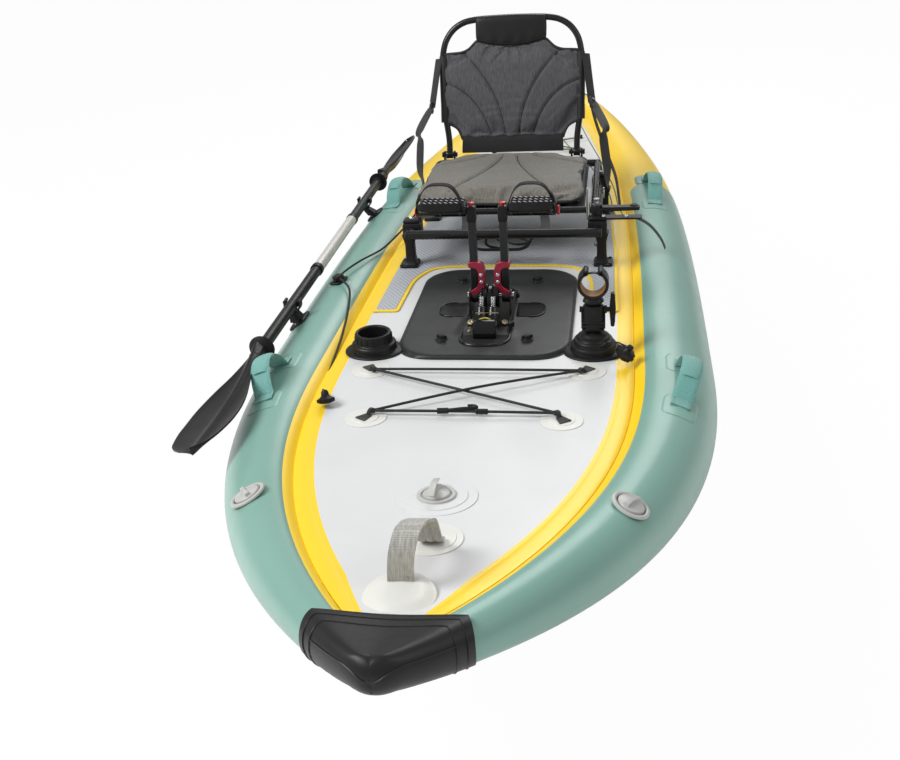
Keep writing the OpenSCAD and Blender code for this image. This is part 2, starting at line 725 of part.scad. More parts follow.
// Shapes on a crank's plane: x across, h along the arm from the axle, d across the arm towards the bow
module on_crank() {
    translate([0, axle_y, axle_z]) rotate([crank_lean, 0, 0]) children();
}
module drum() {
    translate([0, axle_y, axle_z]) difference() {
        bar_x(6, 21, 31);
        bar_x(0, 60, 5.05);
    }
}
module crank_bracket() {
    on_crank() difference() {
        translate([21.2, 0, 0]) rotate([90, 0, 90]) linear_extrude(6) {
            circle(18);
            polygon([[-12, 0], [12, 0], [12, 76], [20, 80], [20, 88], [-12, 88]]);
        }
        bar_x(0, 60, 5.05);
    }
}
arm_x = [27.4, 45.8];
module arm() {
    on_crank() {
        difference() {
            union() {
                block([arm_x[0], -9.5, 14], [arm_x[1], 9.5, crank_len + 12]);
                bar_x(arm_x[0], arm_x[1], 16);
            }
            bar_x(0, 60, 5.05);
            translate([36.6, 0, crank_len - 6]) cylinder(r = 5.3, h = 40);
        }
        translate([0, 0, crank_len]) {
            bar_x(arm_x[1] - 1, 163, 7);
            bar_x(163, 169, 11);
        }
    }
}
module button() {
    on_crank() translate([36.6, 0, crank_len - 1]) cylinder(r = 5.2, h = 22);
}
function pedal_axle() = [0, axle_y - crank_len * sin(crank_lean), axle_z + crank_len * cos(crank_lean)];
pedal_x = 48.5;
module pedal() {
    translate(pedal_axle()) difference() {
        union() {
            bar_x(pedal_x, pedal_x + pedal_w - 2, 12);
            translate([pedal_x + pedal_w / 2, 0, 8]) linear_extrude(12) rounded_rect(pedal_w - 2, 96, 20);
            for (y = [-38:19:38]) translate([0, y, 18]) bar_x(pedal_x + 10, pedal_x + pedal_w - 12, 5);
            translate([pedal_x + pedal_w / 2, -38, 12]) rotate([90, 0, 0]) linear_extrude(4) difference() {
                rounded_rect(pedal_w - 10, 126, 50);
                rounded_rect(pedal_w - 18, 118, 46);
                translate([-100, -100]) square([200, 100]);
            }
        }
        bar_x(0, 200, 7.06);
    }
}
module fin(y) {
    difference() {
        union() {
            translate([0, 0, spine_z]) bar_y(y - hub_l / 2, y + hub_l / 2, 15);
            translate([0, y - 4, spine_z - fin_len]) cylinder(r = 5, h = fin_len - 10);
            translate([-3, 0, 0]) rotate([90, 0, 90]) linear_extrude(6)
                polygon([[y - 22, spine_z - 16], [y - 36, spine_z - 90], [y - 32, spine_z - fin_len + 40],
                    [y - 8, spine_z - fin_len], [y + 30, spine_z - fin_len + 6],
                    [y + 62, spine_z - fin_len + 90], [y + 66, spine_z - 150],
                    [y + 40, spine_z - 46], [y + 22, spine_z - 16]]);
        }
        translate([0, 0, spine_z]) bar_y(y - 60, y + 60, 8.06);
    }
}
module drum_port() {
    color(gloss_black) drum();
}
module drum_starboard() {
    color(gloss_black) mirror([1, 0, 0]) drum();
}
module crank_port() {
    color(burgundy) crank_bracket();
}
module crank_starboard() {
    color(burgundy) mirror([1, 0, 0]) crank_bracket();
}
module arm_port() {
    color(gloss_black) arm();
}
module arm_starboard() {
    color(gloss_black) mirror([1, 0, 0]) arm();
}
module button_port() {
    color(signal_red) button();
}
module button_starboard() {
    color(signal_red) mirror([1, 0, 0]) button();
}
module pedal_port() {
    color(gloss_black) pedal();
}
module pedal_starboard() {
    color(gloss_black) mirror([1, 0, 0]) pedal();
}
module fin_front() {
    color(soft_black) fin(fin_y[0]);
}
module fin_rear() {
    color(soft_black) fin(fin_y[1]);
}

// ---------- Rod holder and paddle ----------
tilt_z = 302;
ring_z = 365;
module holder_arm() {
    color(soft_black) translate(base_post(1)) difference() {
        union() {
            translate([0, 0, 52.3]) cylinder(r = 25, h = 26);
            for (x = [-23, 13.2]) {
                block([x, -15, 70], [x + 9.8, 15, tilt_z - deck_h]);
                translate([0, 0, tilt_z - deck_h]) bar_x(x, x + 9.8, 15);
            }
        }
        translate([0, 0, tilt_z - deck_h]) bar_x(-60, 60, 4.06);
        translate([0, 0, tilt_z - deck_h]) bar_x(-13, 13, 20);
    }
}
module holder_knob() {
    color(soft_black) translate([base_post(1)[0], base_post(1)[1], tilt_z]) {
        bar_x(-27, 40, 4);
        bar_x(-31, -26, 8);
        bar_x(24, 34, 9);
        translate([38, 0, 0]) rotate([90, 0, 90]) linear_extrude(10) rounded_rect(16, 78, 7);
    }
}
module holder_ring() {
    color(soft_black) translate([base_post(1)[0], base_post(1)[1], 0]) difference() {
        union() {
            translate([0, 0, tilt_z]) bar_x(-12.8, 12.8, 14);
            block([-9, -13, tilt_z], [9, 13, ring_z - 32]);
            translate([0, 0, ring_z]) bar_y(-26, 26, 37.5);
        }
        translate([0, 0, tilt_z]) bar_x(-60, 60, 4.06);
        translate([0, 0, ring_z]) bar_y(-30, 30, 28);
        translate([0, 0, ring_z + 20]) block([-20, -40, 0], [20, 40, 40]);
    }
}
module paddle() {
    color(bone) translate([paddle_x, 0, paddle_z]) bar_y(-421, -18, 15.5);
    color(gloss_black) translate([paddle_x, 0, paddle_z]) {
        bar_y(-940, -422, 14.5);
        bar_y(-17, 480, 14.5);
        for (y = [-925, 377]) bar_y(y - 4, y + 4, 24);
    }
    color(gloss_black) {
        blade(-920, -1, -21);
        blade(460, 1, -38);
    }
}
blade_l = (paddle_len - 1380) / 2;
module blade(y0, s, turn) {
    translate([paddle_x, y0, paddle_z]) rotate([0, turn, 0]) scale_y(s)
        translate([0, 0, -2.5]) linear_extrude(5)
            polygon([[-12, 0], [-36, 60], [-68, 150], [-79, 250], [-72, 350], [-42, blade_l], [14, blade_l],
                [38, 380], [48, 300], [40, 230], [12, 160], [12, 0]]);
}
module scale_y(s) {
    if (s < 0) mirror([0, 1, 0]) children();
    else children();
}

tube_port();
tube_starboard();
stern_tubes();
deck_floor();
deck_bands();
bow_cap();
stern_cap();
foam_pad();
pad_border();
drive_well();
well_knobs();
side_handles();
bow_handle();
deck_patches();
valve_bodies();
valve_caps();
bungee_fittings();
bungee_cord();
rear_bungee();
cup_base();
holder_base();
tether_fittings();
tether_cords();
paddle_clips();
steering_lines();
rudder_bracket();
seat_frame();
seat_feet();
seat_pad();
hinge_brackets();
lower_straps();
steering_post();
backrest_frame();
backrest_panel();
headrest_band();
lumbar_band();
upper_straps();
strap_buckles();
steering_lever();
rudder_head();
rudder_blade();
drive_housing();
trim_ring();
drive_shafts();
crank_port();
crank_starboard();
drum_port();
drum_starboard();
arm_port();
arm_starboard();
button_port();
button_starboard();
pedal_port();
pedal_starboard();
fin_front();
fin_rear();
holder_arm();
holder_knob();
holder_ring();
paddle();
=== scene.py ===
"""Inflatable pedal kayak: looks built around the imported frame. Metres; +Z up, -Y bow, +X port."""
import math
import random
import bpy
import bmesh
import numpy as np
from mathutils import Matrix, Vector, noise


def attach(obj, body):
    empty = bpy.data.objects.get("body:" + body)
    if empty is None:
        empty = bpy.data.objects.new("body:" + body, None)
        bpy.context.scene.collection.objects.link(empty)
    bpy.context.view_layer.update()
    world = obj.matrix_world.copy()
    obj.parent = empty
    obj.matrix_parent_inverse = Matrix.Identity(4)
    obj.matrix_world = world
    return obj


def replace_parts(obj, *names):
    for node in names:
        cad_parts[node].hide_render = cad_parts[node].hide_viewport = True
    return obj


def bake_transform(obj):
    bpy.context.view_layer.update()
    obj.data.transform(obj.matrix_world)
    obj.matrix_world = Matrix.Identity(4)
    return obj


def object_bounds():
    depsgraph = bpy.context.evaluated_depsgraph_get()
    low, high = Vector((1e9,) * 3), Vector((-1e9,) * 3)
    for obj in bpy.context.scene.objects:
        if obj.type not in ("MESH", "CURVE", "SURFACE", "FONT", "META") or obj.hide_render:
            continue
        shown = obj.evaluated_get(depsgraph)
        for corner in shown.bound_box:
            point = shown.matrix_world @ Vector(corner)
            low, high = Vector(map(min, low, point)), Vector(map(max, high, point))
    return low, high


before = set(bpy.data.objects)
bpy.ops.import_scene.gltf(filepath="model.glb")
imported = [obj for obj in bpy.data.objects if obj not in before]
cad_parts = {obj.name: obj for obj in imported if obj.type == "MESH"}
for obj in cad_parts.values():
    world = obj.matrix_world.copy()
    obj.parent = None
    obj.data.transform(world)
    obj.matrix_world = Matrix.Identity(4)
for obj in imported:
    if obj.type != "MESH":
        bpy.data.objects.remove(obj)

CAD_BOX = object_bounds()
random.seed(7)

# ------------------------------------------------------------------ materials
MATS = {}


def node(nt, kind, **values):
    n = nt.nodes.new(kind)
    for k, v in values.items():
        if k in n.inputs:
            n.inputs[k].default_value = v
        else:
            setattr(n, k, v)
    return n


def material(name, colour, rough=0.5, metal=0.0, grain=(900.0, 0.06), vary=0.06, soft=None, weave=None,
             coat=0.0, sheen=0.0, dust=0.0, speck=0.0, diamonds_with_groove_shade=None, rough_vary=0.08, shine=0.5):
    """A procedural finish: colour variation, roughness variation and layered bump, all in object space; the
    diamond pattern also paints shade into its grooves.
    """
    m = bpy.data.materials.new(name)
    m.use_nodes = True
    nt = m.node_tree
    link = nt.links.new
    bsdf = nt.nodes["Principled BSDF"]
    co = node(nt, "ShaderNodeTexCoord").outputs["Object"]
    big = node(nt, "ShaderNodeTexNoise", Scale=5.0, Detail=4.0, Roughness=0.55)
    link(co, big.inputs["Vector"])
    ramp = node(nt, "ShaderNodeMapRange")
    ramp.inputs["From Min"].default_value = 0.3
    ramp.inputs["From Max"].default_value = 0.7
    ramp.inputs["To Min"].default_value = 1 - vary
    ramp.inputs["To Max"].default_value = 1 + vary
    link(big.outputs["Fac"], ramp.inputs["Value"])
    tint = node(nt, "ShaderNodeVectorMath", operation="SCALE")
    tint.inputs[0].default_value = colour
    link(ramp.outputs["Result"], tint.inputs["Scale"])
    colour_out = tint.outputs["Vector"]
    if speck:
        fine = node(nt, "ShaderNodeTexNoise", Scale=420.0, Detail=3.0, Roughness=0.7)
        mapping = node(nt, "ShaderNodeMapping")
        mapping.inputs["Scale"].default_value = (1.0, 0.12, 0.12)
        link(co, mapping.inputs["Vector"])
        link(mapping.outputs["Vector"], fine.inputs["Vector"])
        r2 = node(nt, "ShaderNodeMapRange")
        r2.inputs["From Min"].default_value = 0.35
        r2.inputs["From Max"].default_value = 0.65
        r2.inputs["To Min"].default_value = 1 - speck
        r2.inputs["To Max"].default_value = 1 + speck
        link(fine.outputs["Fac"], r2.inputs["Value"])
        t2 = node(nt, "ShaderNodeVectorMath", operation="SCALE")
        link(colour_out, t2.inputs[0])
        link(r2.outputs["Result"], t2.inputs["Scale"])
        colour_out = t2.outputs["Vector"]
    if dust:
        d = node(nt, "ShaderNodeTexNoise", Scale=38.0, Detail=8.0, Roughness=0.7)
        link(co, d.inputs["Vector"])
        r3 = node(nt, "ShaderNodeMapRange")
        r3.inputs["From Min"].default_value = 0.52
        r3.inputs["From Max"].default_value = 0.75
        r3.inputs["To Max"].default_value = dust
        link(d.outputs["Fac"], r3.inputs["Value"])
        mix = node(nt, "ShaderNodeMix", data_type="RGBA")
        link(r3.outputs["Result"], mix.inputs[0])
        link(colour_out, mix.inputs[6])
        mix.inputs[7].default_value = (0.35, 0.34, 0.32, 1)
        colour_out = mix.outputs[2]
    link(colour_out, bsdf.inputs["Base Color"])
    bsdf.inputs["Metallic"].default_value = metal
    bsdf.inputs["Specular IOR Level"].default_value = shine
    rv = node(nt, "ShaderNodeTexNoise", Scale=23.0, Detail=5.0)
    link(co, rv.inputs["Vector"])
    rr = node(nt, "ShaderNodeMapRange")
    rr.inputs["To Min"].default_value = max(rough - rough_vary, 0.02)
    rr.inputs["To Max"].default_value = min(rough + rough_vary, 1.0)
    link(rv.outputs["Fac"], rr.inputs["Value"])
    link(rr.outputs["Result"], bsdf.inputs["Roughness"])
    if coat:
        bsdf.inputs["Coat Weight"].default_value = coat
        bsdf.inputs["Coat Roughness"].default_value = 0.18
    if sheen:
        bsdf.inputs["Sheen Weight"].default_value = sheen
        bsdf.inputs["Sheen Roughness"].default_value = 0.4
    normal = None

    def bump(height, strength, distance):
        nonlocal normal
        b = node(nt, "ShaderNodeBump", Strength=strength, Distance=distance)
        link(height, b.inputs["Height"])
        if normal is not None:
            link(normal, b.inputs["Normal"])
        normal = b.outputs["Normal"]

    g = node(nt, "ShaderNodeTexNoise", Scale=grain[0], Detail=2.0)
    link(co, g.inputs["Vector"])
    bump(g.outputs["Fac"], grain[1], 0.0006)
    if soft:
        s = node(nt, "ShaderNodeTexNoise", Scale=soft[0], Detail=3.0, Distortion=0.6)
        link(co, s.inputs["Vector"])
        bump(s.outputs["Fac"], soft[1], soft[2])
    if weave:
        pitch, strength, axes = weave
        total = None
        for ax in axes:
            w = node(nt, "ShaderNodeTexWave", wave_type="BANDS", Scale=0.314 / pitch)
            w.bands_direction = ax
            link(co, w.inputs["Vector"])
            if total is None:
                total = w.outputs["Fac"]
            else:
                a = node(nt, "ShaderNodeMath", operation="MULTIPLY")
                link(total, a.inputs[0])
                link(w.outputs["Fac"], a.inputs[1])
                total = a.outputs["Value"]
        bump(total, strength, 0.0012)
    if diamonds_with_groove_shade:
        pitch, strength = diamonds_with_groove_shade
        rot = node(nt, "ShaderNodeMapping")
        rot.inputs["Rotation"].default_value = (0, 0, math.radians(45))
        rot.inputs["Scale"].default_value = (1, 1, 1)
        sq = node(nt, "ShaderNodeMapping")
        sq.inputs["Scale"].default_value = (1, 0.72, 1)
        link(co, sq.inputs["Vector"])
        link(sq.outputs["Vector"], rot.inputs["Vector"])
        total = None
        for ax in ("X", "Y"):
            w = node(nt, "ShaderNodeTexWave", wave_type="BANDS", wave_profile="SIN", Scale=0.314 / pitch)
            w.bands_direction = ax
            link(rot.outputs["Vector"], w.inputs["Vector"])
            c = node(nt, "ShaderNodeMapRange")
            c.inputs["From Min"].default_value = 0.0
            c.inputs["From Max"].default_value = 0.45
            link(w.outputs["Fac"], c.inputs["Value"])
            if total is None:
                total = c.outputs["Result"]
            else:
                a = node(nt, "ShaderNodeMath", operation="MULTIPLY")
                link(total, a.inputs[0])
                link(c.outputs["Result"], a.inputs[1])
                total = a.outputs["Value"]
        bump(total, strength, 0.003)
        # the diamond grooves are darkened to 72% of the colour: painted shade in the grooves
        groove_shade_mix = node(nt, "ShaderNodeMix", data_type="RGBA")
        link(total, groove_shade_mix.inputs[0])
        link(colour_out, groove_shade_mix.inputs[7])
        groove_shade_tint = node(nt, "ShaderNodeVectorMath", operation="SCALE")
        groove_shade_tint.inputs["Scale"].default_value = 0.72
        link(colour_out, groove_shade_tint.inputs[0])
        link(groove_shade_tint.outputs["Vector"], groove_shade_mix.inputs[6])
        link(groove_shade_mix.outputs[2], bsdf.inputs["Base Color"])
    link(normal, bsdf.inputs["Normal"])
    MATS[name] = m
    return m


PVC = dict(rough=0.34, grain=(1500, 0.05), vary=0.025, soft=(7.0, 0.10, 0.01), coat=0.12,
           weave=(0.0016, 0.03, ("X", "Y")))
material("pvc_teal", (0.205, 0.385, 0.325), **PVC)
material("pvc_yellow", (0.95, 0.64, 0.010), **PVC)
material("pvc_grey", (0.66, 0.665, 0.67), **{**PVC, "rough": 0.42})
material("pvc_white", (0.72, 0.72, 0.68), **{**PVC, "rough": 0.4})
material("rubber_cap", (0.014, 0.014, 0.015), rough=0.40, grain=(700, 0.12), soft=(18, 0.15, 0.004),
         shine=0.28)
material("eva_grey", (0.50, 0.525, 0.56), rough=0.62, grain=(1200, 0.2), vary=0.04, diamonds_with_groove_shade=(0.009, 0.55))
material("eva_yellow", (0.88, 0.62, 0.03), rough=0.6, grain=(1200, 0.2), vary=0.04)
material("plastic_black", (0.010, 0.010, 0.011), rough=0.42, grain=(1100, 0.18), dust=0.02, vary=0.15,
         shine=0.25)
material("plastic_plate", (0.018, 0.019, 0.020), rough=0.40, grain=(800, 0.30), dust=0.03, vary=0.12,
         soft=(9, 0.12, 0.003), shine=0.30)
material("plastic_gloss", (0.006, 0.006, 0.007), rough=0.16, grain=(600, 0.04), vary=0.1, shine=0.4)
material("rubber_grip", (0.010, 0.010, 0.011), rough=0.62, grain=(900, 0.35), vary=0.1, shine=0.2)
material("webbing_black", (0.013, 0.013, 0.014), rough=0.72, grain=(1500, 0.3),
         weave=(0.0017, 0.7, ("Y", "Z")),
         sheen=0.2)
material("webbing_teal", (0.16, 0.40, 0.36), rough=0.6, grain=(1500, 0.3), weave=(0.0020, 0.7, ("Y", "Z")),
         sheen=0.25)
material("webbing_silver", (0.48, 0.47, 0.43), rough=0.55, grain=(1500, 0.3),
         weave=(0.0018, 0.8, ("X", "Z")),
         sheen=0.4, speck=0.25)
material("fabric_back", (0.070, 0.070, 0.077), rough=0.66, grain=(1800, 0.4), speck=0.34, vary=0.08,
         sheen=0.35,
         weave=(0.0012, 0.5, ("X", "Z")), soft=(14, 0.12, 0.004))
material("fabric_seat", (0.158, 0.148, 0.125), rough=0.68, grain=(1800, 0.4), speck=0.30, vary=0.08,
         sheen=0.35,
         weave=(0.0012, 0.5, ("X", "Y")), soft=(14, 0.12, 0.004))
material("piping_black", (0.010, 0.010, 0.011), rough=0.6, grain=(1400, 0.3), sheen=0.15)
material("vinyl_black", (0.010, 0.010, 0.011), rough=0.42, grain=(650, 0.35), vary=0.15,
         soft=(16, 0.25, 0.004),
         sheen=0.05, shine=0.3)
material("mesh_band", (0.008, 0.008, 0.009), rough=0.6, grain=(1000, 0.3), weave=(0.0024, 0.9, ("X", "Z")))
material("thread_grey", (0.30, 0.29, 0.27), rough=0.6, grain=(900, 0.3))
material("thread_black", (0.02, 0.02, 0.02), rough=0.6, grain=(900, 0.3))
material("tube_black", (0.011, 0.011, 0.012), rough=0.26, metal=0.0, grain=(900, 0.05), vary=0.1, shine=0.4)
material("steel", (0.62, 0.63, 0.64), rough=0.24, metal=1.0, grain=(500, 0.1), vary=0.05)
material("valve_silver", (0.50, 0.50, 0.48), rough=0.34, grain=(700, 0.1), vary=0.1)
material("bare_bolt", (0.66, 0.58, 0.38), rough=0.28, metal=1.0, grain=(500, 0.1))
material("lime", (0.47, 0.44, 0.05), rough=0.3, grain=(600, 0.1), coat=0.3)
material("burgundy", (0.330, 0.016, 0.044), rough=0.30, metal=0.35, grain=(700, 0.12), vary=0.08, coat=0.2)
material("red", (0.50, 0.012, 0.022), rough=0.3, grain=(600, 0.08), coat=0.3)
material("liner_brown", (0.24, 0.115, 0.030), rough=0.6, grain=(700, 0.3), vary=0.15)
material("paddle_white", (0.58, 0.575, 0.53), rough=0.28, grain=(600, 0.05), coat=0.3, vary=0.02)
material("paddle_black", (0.011, 0.011, 0.011), rough=0.36, grain=(700, 0.12), dust=0.02, shine=0.22)
material("cord_black", (0.010, 0.010, 0.011), rough=0.65, grain=(1500, 0.5))
material("cord_green", (0.10, 0.14, 0.04), rough=0.65, grain=(1500, 0.5))
# near-black stand-in for the shaded depth of the drive opening: painted shade
material("dark_gap", (0.004, 0.004, 0.004), rough=0.8)


# ------------------------------------------------------------------ mesh helpers
def V(*a):
    return Vector(a)


def spread(a, b, n):
    return [a + (b - a) * i / (n - 1) for i in range(n)]


def make(name, verts, faces, mats, body="hull", face_mats=None, smooth=35.0, subsurf=0, bevel=0.0, segs=2):
    """A mesh piece that rides a body, or stays unparented when body is None.

    Edges that turn by less than smooth degrees are shaded soft.
    """
    me = bpy.data.meshes.new(name)
    me.from_pydata([tuple(v) for v in verts], [], faces)
    if isinstance(mats, str):
        mats = [mats]
    for m in mats:
        me.materials.append(MATS[m])
    if face_mats is not None:
        me.polygons.foreach_set("material_index", face_mats)
    me.validate()
    me.update()
    ob = bpy.data.objects.new(name, me)
    bpy.context.scene.collection.objects.link(ob)
    finish_mesh(ob, smooth)
    if bevel:
        b = ob.modifiers.new("edge", "BEVEL")
        b.width = bevel
        b.segments = segs
        b.limit_method = "ANGLE"
        b.angle_limit = math.radians(32)
        b.harden_normals = False
    if subsurf:
        s = ob.modifiers.new("sub", "SUBSURF")
        s.levels = subsurf
        s.render_levels = subsurf
    if body is not None:
        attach(ob, body)
    return ob


def finish_mesh(ob, smooth):
    bm = bmesh.new()
    bm.from_mesh(ob.data)
    bmesh.ops.recalc_face_normals(bm, faces=bm.faces)
    limit = math.radians(smooth)
    for f in bm.faces:
        f.smooth = True
    for e in bm.edges:
        if len(e.link_faces) == 2 and e.calc_face_angle(0.0) > limit:
            e.smooth = False
    bm.to_mesh(ob.data)
    bm.free()


class Geo:
    """Gathers several shapes into one piece."""

    def __init__(self):
        self.v = []
        self.f = []
        self.m = []

    def add(self, verts, faces, mat=0):
        k = len(self.v)
        self.v += [Vector(p) for p in verts]
        self.f += [[i + k for i in f] for f in faces]
        self.m += [mat] * len(faces)
        return self

    def loft(self, rings, mat=0, closed=False, caps=True, around=True):
        n = len(rings[0])
        m = len(rings)
        faces = []
        last = m if closed else m - 1
        span = n if around else n - 1
        for i in range(last):
            for j in range(span):
                a = i * n + j
                b = i * n + (j + 1) % n
                c = ((i + 1) % m) * n + (j + 1) % n
                d = ((i + 1) % m) * n + j
                faces.append([a, b, c, d])
        if caps and not closed and around:
            faces.append(list(range(n))[::-1])
            faces.append([(m - 1) * n + j for j in range(n)])
        return self.add([p for r in rings for p in r], faces, mat)

    def box(self, lo, hi, mat=0, matrix=None):
        x0, y0, z0 = lo
        x1, y1, z1 = hi
        vs = [V(x, y, z) for z in (z0, z1) for y in (y0, y1) for x in (x0, x1)]
        if matrix is not None:
            vs = [matrix @ v for v in vs]
        fs = [[0, 2, 3, 1], [4, 5, 7, 6], [0, 1, 5, 4], [2, 6, 7, 3], [0, 4, 6, 2], [1, 3, 7, 5]]
        return self.add(vs, fs, mat)

    def lathe(self, profile, origin, axis=(0, 0, 1), mat=0, n=48, side=None, sweep=360.0, start=0.0):
        """profile: (radius, height along axis); a closed turn unless sweep < 360."""
        ax = Vector(axis).normalized()
        s = Vector(side).normalized() if side else ax.orthogonal().normalized()
        s = (s - s.dot(ax) * ax).normalized()
        t = ax.cross(s)
        o = Vector(origin)
        full = sweep >= 359.9
        steps = n if full else n + 1
        rings = []
        for i in range(steps):
            a = math.radians(start + sweep * i / n)
            d = math.cos(a) * s + math.sin(a) * t
            rings.append([o + r * d + h * ax for r, h in profile])
        m = len(profile)
        faces = []
        for i in range(n):
            k = (i + 1) % steps
            for j in range(m - 1):
                ends = [i * m + j, k * m + j, k * m + j + 1, i * m + j + 1]
                if profile[j][0] < 1e-7:
                    ends = [i * m + j, k * m + j + 1, i * m + j + 1]
                elif profile[j + 1][0] < 1e-7:
                    ends = [i * m + j, k * m + j, i * m + j + 1]
                faces.append(ends)
        return self.add([p for r in rings for p in r], faces, mat)

    def tube(self, path, r, mat=0, n=12, closed=False, radii=None, squash=1.0, up=None):
        pts = [Vector(p) for p in path]
        m = len(pts)
        rings = []
        side = None
        for i in range(m):
            a = pts[(i - 1) % m] if closed else pts[max(i - 1, 0)]
            b = pts[(i + 1) % m] if closed else pts[min(i + 1, m - 1)]
            t = (b - a).normalized()
            if side is None:
                side = (Vector(up) if up else t.orthogonal())
            side = (side - side.dot(t) * t).normalized()
            w = t.cross(side)
            rr = radii[i] if radii else r
            rings.append([pts[i] + rr * (math.cos(k) * side * squash + math.sin(k) * w)
                          for k in [2 * math.pi * j / n for j in range(n)]])
        return self.loft(rings, mat, closed=closed)

    def ribbon(self, path, width, thick, side, mat=0):
        """Webbing along a path; side is the direction of its width."""
        pts = [Vector(p) for p in path]
        m = len(pts)
        w, t2 = width / 2, thick / 2
        prof = [(-w, 0), (-w + t2 * 0.7, t2 * 0.8), (-w * 0.5, t2), (0, t2), (w * 0.5, t2),
                (w - t2 * 0.7, t2 * 0.8),
                (w, 0), (w - t2 * 0.7, -t2 * 0.8), (w * 0.5, -t2), (0, -t2), (-w * 0.5, -t2),
                (-w + t2 * 0.7, -t2 * 0.8)]
        rings = []
        for i in range(m):
            t = (pts[min(i + 1, m - 1)] - pts[max(i - 1, 0)]).normalized()
            s = Vector(side[i] if isinstance(side, list) else side)
            s = (s - s.dot(t) * t).normalized()
            u = t.cross(s)
            rings.append([pts[i] + a * s + b * u for a, b in prof])
        return self.loft(rings, mat)

    def prism(self, poly, z0, z1, matrix=None, mat=0, hole=None):
        n = len(poly)
        vs = [V(x, y, z0) for x, y in poly] + [V(x, y, z1) for x, y in poly]
        fs = [[j, (j + 1) % n, (j + 1) % n + n, j + n] for j in range(n)]
        if hole is None:
            fs += [list(range(n))[::-1], list(range(n, 2 * n))]
        else:
            k = len(hole)
            assert k == n
            vs += [V(x, y, z0) for x, y in hole] + [V(x, y, z1) for x, y in hole]
            a = 2 * n
            fs += [[a + (j + 1) % n, a + j, a + j + n, a + (j + 1) % n + n] for j in range(n)]
            fs += [[(j + 1) % n, j, a + j, a + (j + 1) % n] for j in range(n)]
            fs += [[j + n, (j + 1) % n + n, a + (j + 1) % n + n, a + j + n] for j in range(n)]
        if matrix is not None:
            vs = [matrix @ v for v in vs]
        return self.add(vs, fs, mat)

    def done(self, name, mats, body="hull", **kw):
        return make(name, self.v, self.f, mats, body, self.m, **kw)


def smooth_path(pts, n=8):
    """Catmull-Rom through the points."""
    p = [Vector(q) for q in pts]
    out = []
    for i in range(len(p) - 1):
        a = p[max(i - 1, 0)]
        b = p[i]
        c = p[i + 1]
        d = p[min(i + 2, len(p) - 1)]
        for k in range(n):
            t = k / n
            out.append(0.5 * ((2 * b) + (c - a) * t + (2 * a - 5 * b + 4 * c - d) * t * t
                              + (3 * b - a - 3 * c + d) * t ** 3))
    out.append(p[-1])
    return out


def rounded_poly(pts, n=6):
    """pts: (x, y, corner radius). Each corner is replaced by an arc."""
    out = []
    m = len(pts)
    for i in range(m):
        x, y, r = pts[i]
        p = Vector((x, y))
        a = Vector(pts[i - 1][:2]) - p
        b = Vector(pts[(i + 1) % m][:2]) - p
        if r <= 0:
            out.append((x, y))
            continue
        r = min(r, a.length * 0.49, b.length * 0.49)
        pa = p + a.normalized() * r
        pb = p + b.normalized() * r
        for k in range(n + 1):
            t = k / n
            q = (1 - t) ** 2 * pa + 2 * t * (1 - t) * p + t * t * pb
            out.append((q.x, q.y))
    return out


def rrect(w, l, r, n=6, cx=0.0, cy=0.0):
    return rounded_poly([(cx - w / 2, cy - l / 2, r), (cx + w / 2, cy - l / 2, r),
                         (cx + w / 2, cy + l / 2, r),
                         (cx - w / 2, cy + l / 2, r)], n)


def stitches(name, path, gap, length, r, mat, body="hull"):
    """Short thread capsules along a path."""
    g = Geo()
    pts = [Vector(p) for p in path]
    total = 0.0
    nxt = 0.0
    for i in range(len(pts) - 1):
        a, b = pts[i], pts[i + 1]
        d = b - a
        L = d.length
        if L < 1e-9:
            continue
        d /= L
        while nxt <= total + L:
            p = a + d * (nxt - total)
            g.tube([p - d * length / 2, p - d * length * 0.3, p + d * length * 0.3, p + d * length / 2], r,
                   n=5,
                   radii=[r * 0.3, r, r, r * 0.3])
            nxt += gap
        total += L
    return g.done(name, mat, body)


def frame_matrix(origin, z, x):
    z = Vector(z).normalized()
    x = Vector(x)
    x = (x - x.dot(z) * z).normalized()
    y = z.cross(x)
    m = Matrix((x, y, z)).transposed().to_4x4()
    m.translation = Vector(origin)
    return m


# ------------------------------------------------------------------ hull form, as the frame's
WIDEST = -0.850
BOW, STERN = 2.003, 1.650
OFF, R0 = 0.412, 0.105
TEAL_END = 0.405
DECK = 0.200


def end_share(y):
    if y < 0:
        return (max(-0.860 - y, 0.0) / (BOW - 0.860)) ** 2
    return (max(y - 0.8, 0.0) / (STERN - 0.8)) ** 2


def rise(y):
    return end_share(y) * (0.100 if y < 0 else 0.070)


def tube_x(y):
    if y < WIDEST:
        s = min((WIDEST - y) / (BOW + WIDEST), 1.0)
        return OFF * (1 - s ** 2.3) ** 0.92
    s = min((y - WIDEST) / (STERN - WIDEST), 1.0)
    return OFF * (1 - s ** 3) ** 0.6


def tube_r(y):
    if y < 0:
        return R0 - 0.080 * (max(WIDEST - y, 0) / (BOW + WIDEST)) ** 1.5
    return R0 - 0.047 * (max(y - 0.3, 0) / 1.41) ** 1.8


def tube_z(y):
    return 2 * R0 + 0.005 + rise(y) - tube_r(y)


def deck_z(y):
    return DECK + rise(y) + 0.006 * end_share(y)


def centre(y):
    return V(tube_x(y), y, tube_z(y))


def hull_frame(y):
    t = (centre(y + 0.004) - centre(y - 0.004)).normalized()
    n = V(t.y, -t.x, 0).normalized()
    return t, n, n.cross(t)


def on_tube(y, phi, h=0.0, side=1):
    """phi in degrees from the tube's top, positive inboard."""
    _, n, u = hull_frame(y)
    p = centre(y) + (tube_r(y) + h) * (math.cos(math.radians(phi)) * u - math.sin(math.radians(phi)) * n)
    return V(side * p.x, p.y, p.z)


def tube_normal(y, phi, side=1):
    return (on_tube(y, phi, 0.01, side) - on_tube(y, phi, 0, side)).normalized()


